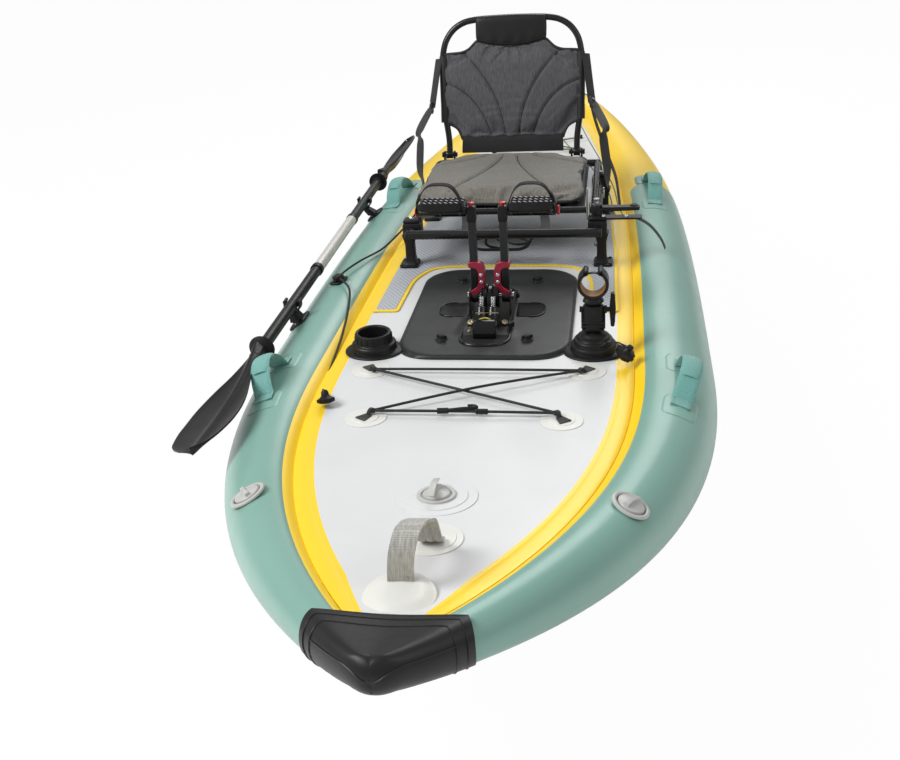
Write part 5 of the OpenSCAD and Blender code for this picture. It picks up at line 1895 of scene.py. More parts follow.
sub = head.modifiers.new("s", "SUBSURF")
sub.levels = sub.render_levels = 1
bpy.ops.object.select_all(action="DESELECT")
head.select_set(True)
bpy.context.view_layer.objects.active = head
bpy.ops.object.modifier_apply(modifier="s")
head_wrinkle(head)
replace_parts(head, "headrest_band")
stitches("headrest_stitch", [back(0.102 * f, 0.3185 + 0.017 * f * f,
                                  -0.0126) for f in [-1 + 2 * k / 40 for k in range(41)]],
         0.005, 0.0038, 0.0005, "thread_black", "backrest")

# lower band
g = Geo()
rings = []
for i in range(33):
    f = -1 + 2 * i / 32
    ring = []
    for h, d in ((-0.004, -0.004), (0.000, -0.0085), (0.012, -0.0098), (0.030, -0.0098), (0.046, -0.0092),
                 (0.051, -0.0060), (0.051, 0.004), (0.046, 0.0070), (0.012, 0.0076), (0.000, 0.0060),
                 (-0.004, 0.002)):
        hh = 0.044 + (h - 0.044) * (1.0 if h > 0.02 else 1.0)
        w = 0.153 + 0.001 * math.cos(h * 80)
        ring.append(back(w * f, max(hh, 0.0) + 0.004,
                         d + 0.0012 * math.sin(f * 9) * (1 if h < 0.01 else 0.3)))
    rings.append(ring)
g.loft(rings)
band = g.done("lumbar_strap", "mesh_band", "backrest", smooth=60)
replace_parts(band, "lumbar_band")

# backrest frame tube
line = [(0.194, 0.008), (0.195, 0.045), (0.200, 0.085), (0.2075, 0.130), (0.2095, 0.200), (0.2090, 0.262),
        (0.2060, 0.300), (0.1960, 0.335), (0.1740, 0.365), (0.1430, 0.384), (0.1060, 0.3915),
        (0.060, 0.394), (0.0, 0.395)]
right = smooth_path([back(x, h, 0.003) for x, h in line], 6)
left = [V(2 * SX - p.x, p.y, p.z) for p in right[::-1]][1:]
g = Geo()
g.tube(right + left, 0.0092, n=18, up=(0, 1, 0))
for s in (-1, 1):
    g.lathe([(0.0052, -0.0100), (0.0112, -0.0100), (0.0118, -0.0090), (0.0118, 0.0090), (0.0112, 0.0100),
             (0.0052, 0.0100), (0.0052, -0.0100)], V(SX + s * EYE, REAR_Y, PIVOT_Z), (1, 0, 0), n=28)
bf = g.done("backrest_tube", "tube_black", "backrest", smooth=50)
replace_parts(bf, "backrest_frame")
# fabric sleeves that wrap the frame's uprights
g = Geo()
for s in (-1, 1):
    rings = []
    for i in range(20):
        h = 0.096 + (0.290 - 0.096) * i / 19
        x = 0.2095 + 0.0002 * math.sin(i)
        rings.append([back(s * (x - 0.004 + 0.0125 * math.cos(a)), h, 0.002 + 0.0125 * math.sin(a))
                      for a in [2 * math.pi * k / 18 for k in range(18)]])
    g.loft(rings)
g.done("backrest_sleeves", "piping_black", "backrest", smooth=60)

# seat cushion
PW, PY0, PY1 = 0.226, -0.247, 0.163
PZ = FRAME_Z + 0.0100
pad_out = rounded_poly([(-PW, PY0 + 0.012, 0.05), (0.0, PY0, 0.0), (PW, PY0 + 0.012, 0.05),
                        (PW - 0.004, -0.04, 0),
                        (PW - 0.002, PY1, 0.035), (-PW + 0.002, PY1, 0.035), (-PW + 0.004, -0.04, 0)], 7)
SEAMS_PAD = [arc2((s * 0.022, 0.125), (s * 0.050, -0.02), (s * 0.135, -0.215)) for s in (-1, 1)]
SEAMS_PAD += [arc2((s * 0.060, 0.145), (s * 0.115, 0.075), (s * 0.222, 0.035)) for s in (-1, 1)]


def pad_drop(y):
    """The front edge rolls down over the frame."""
    t = smooth01((PY0 + 0.075 - y) / 0.075)
    return 0.010 * t * t


def pad_world(x, y, up):
    return V(SX + x, y, PZ + 0.0165 + up - pad_drop(y))


def pad_inverse(p):
    return (p[0] - SX, p[1], p[2] - PZ - 0.0165 + pad_drop(p[1]))


verts, faces = dense_panel(pad_out, 0.027, 0.009, pad_world,
                                          lambda x, y, d: 0.004 * smooth01(d / 0.06), 0.016)
seat = make("seat_cushion", verts, faces, "fabric_seat", "hull", smooth=60)
simulate(seat, 0.0058, 3.2, 0.008, pin=lambda p: p[2] < PZ + 0.004)
sub = seat.modifiers.new("s", "SUBSURF")
sub.levels = sub.render_levels = 1
bpy.ops.object.select_all(action="DESELECT")
seat.select_set(True)
bpy.context.view_layer.objects.active = seat
bpy.ops.object.modifier_apply(modifier="s")


def seat_wrinkle(x, y):
    return 0.0012 * noise.noise(Vector((x * 18, y * 12, 8.0))) + 0.0006 * noise.noise(Vector((x * 60,
            y * 30, 2.0)))


sew(seat, pad_inverse, pad_world, SEAMS_PAD, 0.0050, 0.0055, seat_wrinkle)
co = np.array([v.co[:] for v in seat.data.vertices])
co[:, 2] = np.maximum(co[:, 2], FRAME_Z + 0.0091)
seat.data.vertices.foreach_set("co", co.ravel())
finish_mesh(seat, 70)
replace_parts(seat, "seat_pad")
for i, ln in enumerate(SEAMS_PAD):
    path = [pad_world(x, y, surface_of(seat, pad_inverse, x, y, 0.014) + 0.0001) for x, y in ln[1:-1]]
    stitches("pad_stitch_%d" % i, path, 0.0052, 0.0040, 0.00055, "thread_black")
    g = Geo()
    g.tube(path, 0.00115, n=6)
    g.done("pad_seam_%d" % i, "piping_black", smooth=60)
g = Geo()
g.tube([pad_world(x, y, -0.002) for x, y in pad_out], 0.0042, n=8, closed=True)
g.done("pad_piping", "piping_black", smooth=60)
# the base's sling under the cushion
g = Geo()
rings = []
for i in range(15):
    y = -0.235 + 0.40 * i / 14
    rings.append([V(SX * 0.5 + 0.222 * f, y,
                    FRAME_Z + 0.0035 - 0.010 * (1 - f * f)) for f in [-1 + 2 * k / 12 for k in range(13)]]
                 + [V(SX * 0.5 + 0.222 * f, y,
                      FRAME_Z + 0.0015 - 0.010 * (1 - f * f)) for f in [1 - 2 * k / 12 for k in range(13)]])
g.loft(rings)
g.done("seat_sling", "mesh_band", smooth=60)
# lashing straps in front, under the cushion
for i, x in enumerate((-0.11, 0.10)):
    pts = [V(x, -0.226, FRAME_Z + 0.000), V(x + 0.004, -0.262, FRAME_Z + 0.0115),
           V(x + 0.006, -0.276, FRAME_Z - 0.002),
           V(x + 0.010, -0.300, FRAME_Z - 0.016), V(x + 0.012, -0.336, RAIL_Z + 0.006)]
    g = Geo()
    g.ribbon(smooth_path(pts, 6), 0.024, 0.0018, (1, 0, 0))
    g.done("front_strap_%d" % i, "webbing_black", smooth=60)

# side straps with buckles
def strap_pair(s, tag):
    top = back(s * 0.2205, 0.284, 0.004)
    buck = back(s * 0.2400, 0.140, -0.030)
    low = V(s * 0.268, 0.000, 0.322)
    mid = V(s * 0.268 + SX * 0.6, 0.075, 0.448)
    pts = smooth_path([top, back(s * 0.2290, 0.220, -0.012), buck], 8)
    g = Geo()
    g.ribbon(pts, 0.030, 0.0022, (0.8 * s, 1, 0.3))
    up_ob = g.done("strap_upper_" + tag, "webbing_black", "backrest", smooth=60)
    n1 = smooth_path([buck + V(0, 0.004, 0.006), mid + V(s * 0.003, 0.020, 0.030), mid,
                      V(s * 0.272 + SX * .3, 0.030, 0.382),
                      low + V(0, 0.010, 0.024), low], 8)
    g = Geo()
    sides = []
    for i in range(len(n1)):
        t = i / (len(n1) - 1)
        a = 0.9 * math.sin(t * math.pi) * s
        sides.append(V(math.sin(a) * 0.7, math.cos(a), 0.25))
    g.ribbon(n1, 0.030, 0.0022, sides)
    lo = g.done("strap_lower_" + tag, "webbing_black", None, smooth=60)
    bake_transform(lo)
    # ladder buckle
    t = (pts[-1] - pts[-3]).normalized()
    m = frame_matrix(buck, (s, -0.2, 0), t)
    g = Geo()
    g.prism(rrect(0.030, 0.033, 0.004, 4), -0.0032, 0.0032, m, hole=rrect(0.018, 0.026, 0.003, 4))
    g.box((-0.0015, -0.014, -0.0045), (0.0025, 0.014, 0.0045), matrix=m)
    g.box((0.0065, -0.014, -0.0045), (0.0095, 0.014, 0.0045), matrix=m)
    bk = g.done("buckle_" + tag, "plastic_black", "backrest", smooth=40, bevel=0.0008)
    g = Geo()
    g.box((-0.0135, -0.0160, 0.0028), (-0.0105, 0.0160, 0.0056), matrix=m)
    g.done("buckle_bar_" + tag, "steel", "backrest", bevel=0.0008)
    g = Geo()
    q = V(s * (RAIL_X + 0.013), 0.0, RAIL_Z)
    g.tube([q + V(0, 0.014 * math.cos(a),
                  0.014 * math.sin(a)) for a in [2 * math.pi * k / 20 for k in range(20)]],
           0.0022, n=8, closed=True)
    g.done("strap_ring_" + tag, "steel", "hull", smooth=50)
    return up_ob, lo, bk


u, l, b = strap_pair(-1, "starboard")
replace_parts(u, "upper_straps")
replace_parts(l, "lower_straps")
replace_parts(b, "strap_buckles")
strap_pair(1, "port")
# the port side's second strap runs out to the deck
n1 = smooth_path([V(0.214, 0.168, 0.545), V(0.232, 0.172, 0.470), V(0.262, 0.182, 0.380),
                  V(0.290, 0.190, 0.300),
                  V(0.300, 0.196, 0.236), V(0.304, 0.200, DECK + 0.003)], 8)
g = Geo()
g.ribbon(n1, 0.022, 0.0018, (0.3, 1, 0.0))
outer = g.done("strap_outer_port", "webbing_black", None, smooth=60)
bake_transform(outer)


# spare webbing gathered in loops behind the front bar
for i, (x, w, h) in enumerate(((-0.012, .074, .020), (0.010, .060, .026), (0.028, .048, .016))):
    ring = [V(x + w * math.cos(a), -0.312 + 0.010 * i + 0.008 * math.sin(3 * a + i),
              0.268 + h * math.sin(a) + 0.004 * i)
            for a in [2 * math.pi * k / 26 for k in range(26)]]
    g = Geo()
    g.tube(smooth_path(ring + ring[:1], 2), 0.0042 - 0.0006 * i, n=10)
    g.done("spare_loop_%d" % i, "webbing_black", smooth=60)

# ------------------------------------------------------------------ steering
ST = V(0.245, -0.300, 0.0)
g = Geo()
g.prism(rrect(0.046, 0.036, 0.010, 5, ST.x, ST.y), RAIL_Z + 0.0224, RAIL_Z + 0.0270)
g.prism(rrect(0.122, 0.030, 0.010, 5, ST.x + 0.056, ST.y), RAIL_Z + 0.0225, RAIL_Z + 0.0272)
g.lathe([(0.0, RAIL_Z + 0.020), (0.0120, RAIL_Z + 0.020), (0.0125, RAIL_Z + 0.032),
         (0.0115, RAIL_Z + 0.0338),
         (0.0, RAIL_Z + 0.0338)], V(ST.x, ST.y, 0), n=32)
sp = g.done("steering_base", "plastic_black", smooth=36, bevel=0.0008)
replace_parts(sp, "steering_post")
g = Geo()
for dx, z0, z1, r in ((0.0, 0.252, RAIL_Z + 0.072, 0.0046), (-0.022, RAIL_Z + 0.020, 0.412, 0.0052)):
    g.lathe([(0, z0), (r * 0.8, z0), (r, z0 + 0.001), (r, z1 - 0.001), (r * 0.8, z1), (0, z1)],
            V(ST.x + dx, ST.y, 0), n=20)
for z in (RAIL_Z + 0.070, 0.256):
    g.lathe([(0, z), (0.0085, z), (0.0085, z + 0.006), (0, z + 0.006)], V(ST.x, ST.y, 0), n=6)
for x in (0.263, 0.321):
    z = RAIL_Z + 0.0272
    g.lathe([(0, z), (0.0058, z), (0.0058, z + 0.0035), (0.0048, z + 0.0046), (0, z + 0.0046)],
            V(x, ST.y - 0.006, 0), n=6)
g.done("steering_rods", "steel", smooth=40)
g = Geo()
g.lathe([(0.0048, RAIL_Z + 0.0345), (0.0140, RAIL_Z + 0.0345), (0.0145, RAIL_Z + 0.036),
         (0.0145, RAIL_Z + 0.058),
         (0.0125, RAIL_Z + 0.0610), (0.0048, RAIL_Z + 0.0610)], V(ST.x, ST.y, 0), n=32)
rows = []
for i in range(15):
    f = i / 14
    x = 0.006 + 0.104 * f
    w = 0.0125 + 0.004 * math.sin(math.pi * f)
    z = RAIL_Z + 0.0440 + 0.002 * f
    rows.append([V(ST.x + x, ST.y + w * ca, z + 0.0042 + 0.0046 * sa) for ca, sa in
                 [(math.copysign(abs(math.cos(t)) ** .55, math.cos(t)),
                   math.copysign(abs(math.sin(t)) ** .55, math.sin(t)))
                  for t in [2 * math.pi * q / 20 for q in range(20)]]])
g.loft(rows)
g.prism(rrect(0.098, 0.022, 0.008, 5, ST.x + 0.062, ST.y - 0.004), RAIL_Z + 0.0525, RAIL_Z + 0.0565)
g.lathe([(0.0, 0.0), (0.0098, 0.0), (0.0102, 0.002), (0.0098, 0.0085), (0.0070, 0.0100), (0.0, 0.0104)],
        V(ST.x + 0.096, ST.y, RAIL_Z + 0.0500), n=28)
lv = g.done("steering_lever_body", "plastic_black", "steering_lever", smooth=40)
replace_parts(lv, "steering_lever")
g = Geo()
g.ribbon(smooth_path([V(0.330, -0.300, RAIL_Z + 0.026), V(0.352, -0.296, RAIL_Z + 0.020),
                      V(0.384, -0.290, 0.305),
                      V(0.412, -0.286, 0.268), V(0.424, -0.284, 0.240)], 6), 0.018, 0.0018, (0.2, 1, 0))
g.done("steering_tail", "webbing_black", smooth=60)
# steering lines to the stern
la = cord("steering_line_a", [V(0.318, -0.290, RAIL_Z + 0.018), V(0.300, -0.10, 0.300), V(0.285, 0.10,
        0.292),
                              V(0.240, 0.50, 0.262), V(0.170, 1.00, deck_z(1.00) + 0.030),
                              V(0.070, 1.50, 0.284),
                              V(0.046, 1.66, 0.300), V(0.052, 1.748, 0.2655)], 0.0018, "cord_green")
cord("steering_line_b", [V(0.300, -0.290, RAIL_Z + 0.018), V(0.286, -0.10, 0.288), V(0.268, 0.10, 0.282),
                         V(0.200, 0.52, 0.246), V(0.080, 1.00, deck_z(1.00) + 0.020),
                         V(-0.020, 1.50, 0.280),
                         V(-0.040, 1.66, 0.300), V(-0.052, 1.748, 0.2655)], 0.0018, "cord_green")
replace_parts(la, "steering_lines")
g = Geo()
for s in (-1, 1):
    q = V(s * 0.043, 1.655, 0.2955)
    g.tube([q + V(0.007 * math.cos(a), 0,
                  0.007 * math.sin(a)) for a in [2 * math.pi * k / 16 for k in range(16)]],
           0.0020, n=8, closed=True)
    g.box(q + V(-0.008, -0.007, -0.012), q + V(0.008, 0.007, -0.007))
g.done("line_guides", "steel", smooth=50)

# ------------------------------------------------------------------ rudder
PY_, PZ0, PZ1 = 1.756, 0.170, 0.286
g = Geo()
for z in (PZ0, PZ1 - 0.012):
    poly = [(0.016 * math.cos(a),
             PY_ + 0.016 * math.sin(a)) for a in [math.radians(-40 + 260 * k / 20) for k in range(21)]]
    poly += [(-0.017, 1.712), (0.017, 1.712)]
    g.prism(poly[::-1], z, z + 0.012)
g.prism(rrect(0.056, 0.128, 0.010, 4, 0.0, 0.229), 0, 0.008,
        Matrix.Translation(V(0, 1.7145, 0)) @ Matrix.Rotation(math.radians(90), 4, "X"))
rbk = g.done("rudder_bracket_body", "plastic_black", smooth=36, bevel=0.0010)
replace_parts(rbk, "rudder_bracket")
g = Geo()
g.lathe([(0, PZ0 - 0.003), (0.007, PZ0 - 0.003), (0.007, PZ0 - 0.0005), (0.0050, PZ0 - 0.0004),
         (0.0050, PZ1 + 0.002),
         (0.0085, PZ1 + 0.0022), (0.0085, PZ1 + 0.0055), (0.006, PZ1 + 0.0065), (0, PZ1 + 0.0065)],
         V(0, PY_, 0), n=24)
for s in (-1, 1):
    for z in (0.180, 0.278):
        g.lathe([(0.0042, 0), (0.0042, 0.0016), (0.003, 0.0026), (0, 0.0026)], V(s * 0.019, 1.7147, z),
                (0, 1, 0), n=14)
g.done("rudder_pin", "steel", smooth=40)
g = Geo()
g.lathe([(0.0052, 0.1826), (0.0136, 0.1826), (0.0142, 0.185), (0.0142, 0.271), (0.0136, 0.2736),
         (0.0052, 0.2736)],
        V(0, PY_, 0), n=32)
rows = []
for y, hz0, hz1, w in ((1.766, .190, .250, .0098), (1.776, .191, .247, .0100)):
    rows.append([V(x, y, z) for x, z in rrect(2 * w, hz1 - hz0, 0.004, 3, 0.0, (hz0 + hz1) / 2)])
g.loft(rows)
for s in (-1, 1):
    m = Matrix(((0, 0, s, 0), (1, 0, 0, 0), (0, 1, 0, 0), (0, 0, 0, 1)))
    g.prism(rounded_poly([(1.771, .190, .004), (1.800, .190, .014), (1.815, .204, .012),
                          (1.815, .224, .012),
                          (1.800, .238, .014), (1.771, .244, .004)], 4), 0.0044, 0.0102, m)
rows = []
for i in range(23):
    f = -1 + 2 * i / 22
    w = 0.0105 + 0.003 * (1 - abs(f))
    rows.append([V(0.056 * f, PY_ + y, 0.2645 + z) for y, z in rrect(2 * w, 0.0060, 0.0026, 3)])
g.loft(rows)
rh = g.done("rudder_head_body", "plastic_black", "rudder_head", smooth=36, bevel=0.0006)
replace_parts(rh, "rudder_head")
g = Geo()
g.lathe([(0, -0.0165), (0.0062, -0.0165), (0.0062, -0.0125), (0.004, -0.0124), (0.004, 0.0124),
         (0.0062, 0.0125),
         (0.0062, 0.0165), (0, 0.0165)], V(0, 1.796, 0.214), (1, 0, 0), n=6)
for s in (-1, 1):
    g.lathe([(0, 0), (0.0040, 0), (0.0040, 0.006), (0, 0.006)], V(s * 0.0515, PY_, 0.2672), n=12)
g.done("rudder_bolts", "steel", "rudder_head", smooth=40)


def foil(g, sections):
    """Lofts an aerofoil through (lead point, trail point, thickness)."""
    rows = []
    for a, b, t in sections:
        a, b = Vector(a), Vector(b)
        d = b - a
        row_a, row_b = [], []
        for k in range(13):
            s = k / 12
            x = s ** 1.5
            h = t * (2.97 * math.sqrt(x) - 1.26 * x - 3.516 * x * x + 2.843 * x ** 3 - 1.015 * x ** 4) * 0.5
            h = max(h, 0.0004)
            row_a.append(a + d * x + V(h, 0, 0))
            row_b.append(a + d * x - V(h, 0, 0))
        rows.append(row_a + row_b[::-1])
    g.loft(rows)


g = Geo()
foil(g, [((0, 1.779, .228), (0, 1.813, .228), .0075), ((0, 1.778, .200), (0, 1.814, .200), .0078),
         ((0, 1.776, .160), (0, 1.822, .160), .0080), ((0, 1.772, .110), (0, 1.842, .110), .0080),
         ((0, 1.767, .040), (0, 1.862, .040), .0079), ((0, 1.765, -.040), (0, 1.870, -.040), .0076),
         ((0, 1.768, -.100), (0, 1.868, -.100), .0072), ((0, 1.775, -.140), (0, 1.856, -.140), .0066),
         ((0, 1.787, -.162), (0, 1.838, -.162), .0056), ((0, 1.803, -.1705), (0, 1.824, -.1705), .0030)])
rbl = g.done("rudder_blade_body", "plastic_gloss", "rudder_blade", smooth=50)
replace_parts(rbl, "rudder_blade")

# ------------------------------------------------------------------ pedal drive
AX = V(0, -0.640, 0.253)
SPZ = -0.030
FY = (-0.796, -0.652)
g = Geo()
# hull of the housing inside the well, with a waisted shoulder above the plate
rows = []
for z, w, y0, y1, r in ((0.022, .036, -.800, -.520, .020), (0.060, .043, -.818, -.505, .020),
                        (0.150, .0450, -.824, -.500, .022),
                        (0.182, .0452, -.826, -.499, .024), (0.190, .0430, -.822, -.502, .026),
                        (0.193, .0380, -.812, -.512, .026)):
    rows.append([V(x, y, z) for x, y in rrect(2 * w, y1 - y0, r, 6, 0.0, (y0 + y1) / 2)])
g.loft(rows)
# central web that carries the axle
web = rounded_poly([(-0.704, .188, 0), (-0.682, .262, .012), (-0.655, .278, .014), (-0.625, .278, .014),
                    (-0.598, .256, .012),
                    (-0.576, .188, 0)], 5)
g.prism(web, -0.0046, 0.0046, Matrix(((0, 0, 1, 0), (1, 0, 0, 0), (0, 1, 0, 0), (0, 0, 0, 1))))
# cheeks outside the arms
for s in (-1, 1):
    ck = rounded_poly([(-0.676, .1880, 0), (-0.664, .262, .014), (-0.650, .270, .010), (-0.630, .270, .010),
                       (-0.616, .262, .014), (-0.604, .1880, 0)], 5)
    g.prism(ck, 0.0472, 0.0512, Matrix(((0, 0, s, 0), (1, 0, 0, 0), (0, 1, 0, 0), (0, 0, 0, 1))))
house = g.done("drive_housing_body", "plastic_gloss", smooth=40, bevel=0.0012)
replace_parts(house, "drive_housing")
# twin barrels in front, leaning back, joined under a round nose
g = Geo()
bd = V(0, 0.42, 1).normalized()
for s in (-1, 1):
    o = V(s * 0.0135, -0.742, 0.206)
    g.lathe([(0, -0.020), (0.0145, -0.020), (0.0150, 0.006), (0.0150, 0.036), (0.0142, 0.040),
             (0.0128, 0.042), (0.0128, 0.052),
             (0.0110, 0.056), (0.0, 0.057)], o, bd, n=32)
g.lathe([(0.0, -0.0275), (0.016, -0.0275), (0.0235, -0.0262), (0.0262, -0.0225), (0.0262, 0.0225),
         (0.0235, 0.0262),
         (0.016, 0.0275), (0.0, 0.0275)], V(0, -0.776, 0.222), (1, 0, 0), n=44)
g.done("drive_barrels", "plastic_gloss", smooth=36)
g = Geo()
rings = []
for i in range(33):
    a = math.radians(15 + 150 * i / 32)
    rings.append([V(0.0262 * math.cos(a) * 1.04, -0.7705 + dy, 0.2205 + 0.0290 * math.sin(a) * 1.02 + dz)
                  for dy, dz in ((-0.0018, -0.0008), (-0.0018, 0.0016), (0.0018, 0.0016), (0.0018,
                          -0.0008))])
g.loft(rings)
tr = g.done("drive_trim_arc", "lime", smooth=50, bevel=0.0004)
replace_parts(tr, "trim_ring")
g = Geo()
for s in (-1, 1):
    o = V(s * 0.0135, -0.742, 0.206) + bd * 0.0405
    g.lathe([(0.0129, 0.0), (0.0148, 0.0), (0.0150, 0.0022), (0.0129, 0.0026)], o, bd, n=32)
g.done("barrel_rings", "bare_bolt", smooth=40)
g = Geo()
for s in (-1, 1):
    # small return springs over the barrels
    o = V(s * 0.0135, -0.742, 0.206) + bd * 0.057
    pts = []
    m = frame_matrix(o, bd, (1, 0, 0))
    for k in range(0, 91):
        a = 2 * math.pi * k / 15
        pts.append(m @ V(0.0055 * math.cos(a), 0.0055 * math.sin(a), 0.022 * k / 90))
    g.tube(pts, 0.0009, n=6)
g.done("drive_springs", "steel", smooth=60)
g = Geo()
g.lathe([(0, -0.0560), (0.0088, -0.0560), (0.0088, -0.0520), (0.0050, -0.0515), (0.0050, 0.0515),
         (0.0088, 0.0520),
         (0.0088, 0.0560), (0, 0.0560)], AX, (1, 0, 0), n=24)
ax = g.done("drum_axle", "steel", smooth=36)
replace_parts(ax, "drive_shafts")
g = Geo()
for s in (-1, 1):
    o = V(s * 0.0400, -0.725, 0.2195)
    g.lathe([(0.0085, -0.002), (0.0085, 0.0014), (0.0070, 0.0030), (0.0038, 0.0034), (0.0034, 0.0016),
             (0, 0.0016)], o,
            (s * 0.15, -0.55, 1), n=6 if s > 0 else 24)
o = V(-0.0385, -0.772, 0.2185)
g.lathe([(0.0040, -0.002), (0.0040, 0.0012), (0.0028, 0.0022), (0, 0.0022)], o, (0, -0.5, 1), n=16)
g.done("drive_bolts", "bare_bolt", smooth=30)
g = Geo()
g.tube(smooth_path([V(0.052, -0.545, 0.2120), V(0.0560, -0.580, 0.240), V(0.0580, -0.640, 0.254),
                    V(0.0590, -0.702, 0.242),
                    V(0.0570, -0.742, 0.2245)], 10), 0.0034, n=14)
g.done("lift_cable", "rubber_grip", smooth=60)
g = Geo()
for q in (V(0.052, -0.545, 0.2110), V(0.0570, -0.742, 0.2215)):
    g.lathe([(0, -0.004), (0.0080, -0.004), (0.0080, 0.006), (0.0062, 0.008), (0, 0.008)], q, n=20)
g.done("cable_ends", "plastic_black", smooth=40)
# underside: struts and spine
g = Geo()
for y0, y1 in ((-0.828, -0.822), (FY[0] + 0.0265, FY[0] + 0.0660), (FY[1] + 0.0265, FY[1] + 0.0660)):
    rows = []
    for z, w, grow in ((SPZ - 0.008, .0085, 0.0), (SPZ + 0.008, .0085, 0.0), (0.000, .0100, 0.001),
                       (0.032, .0160, 0.004)):
        rows.append([V(x, y, z) for x, y in rrect(2 * w, (y1 - y0) + 2 * grow, min(0.0028, (y1 - y0) * 0.4),
                                                  3, 0.0,
                                                  (y0 + y1) / 2)])
    g.loft(rows)
g.lathe([(0, -0.829), (0.0062, -0.829), (0.0080, -0.827), (0.0080, -0.566), (0.0062, -0.562), (0, -0.562)],
        V(0, 0, SPZ), (0, 1, 0), n=24)
g.done("fin_spine", "plastic_gloss", smooth=40)

CL = 0.0
CRANK = 0.212


def crank(x, d, h):
    """x across, d towards the rear across the arm, h along the arm from the axle."""
    return V(x, AX.y + d * math.cos(CL) - h * math.sin(CL), AX.z + d * math.sin(CL) + h * math.cos(CL))


def crank_matrix():
    m = Matrix(((1, 0, 0), (0, math.cos(CL), -math.sin(CL)), (0, math.sin(CL), math.cos(CL)))).to_4x4()
    m.translation = AX
    return m


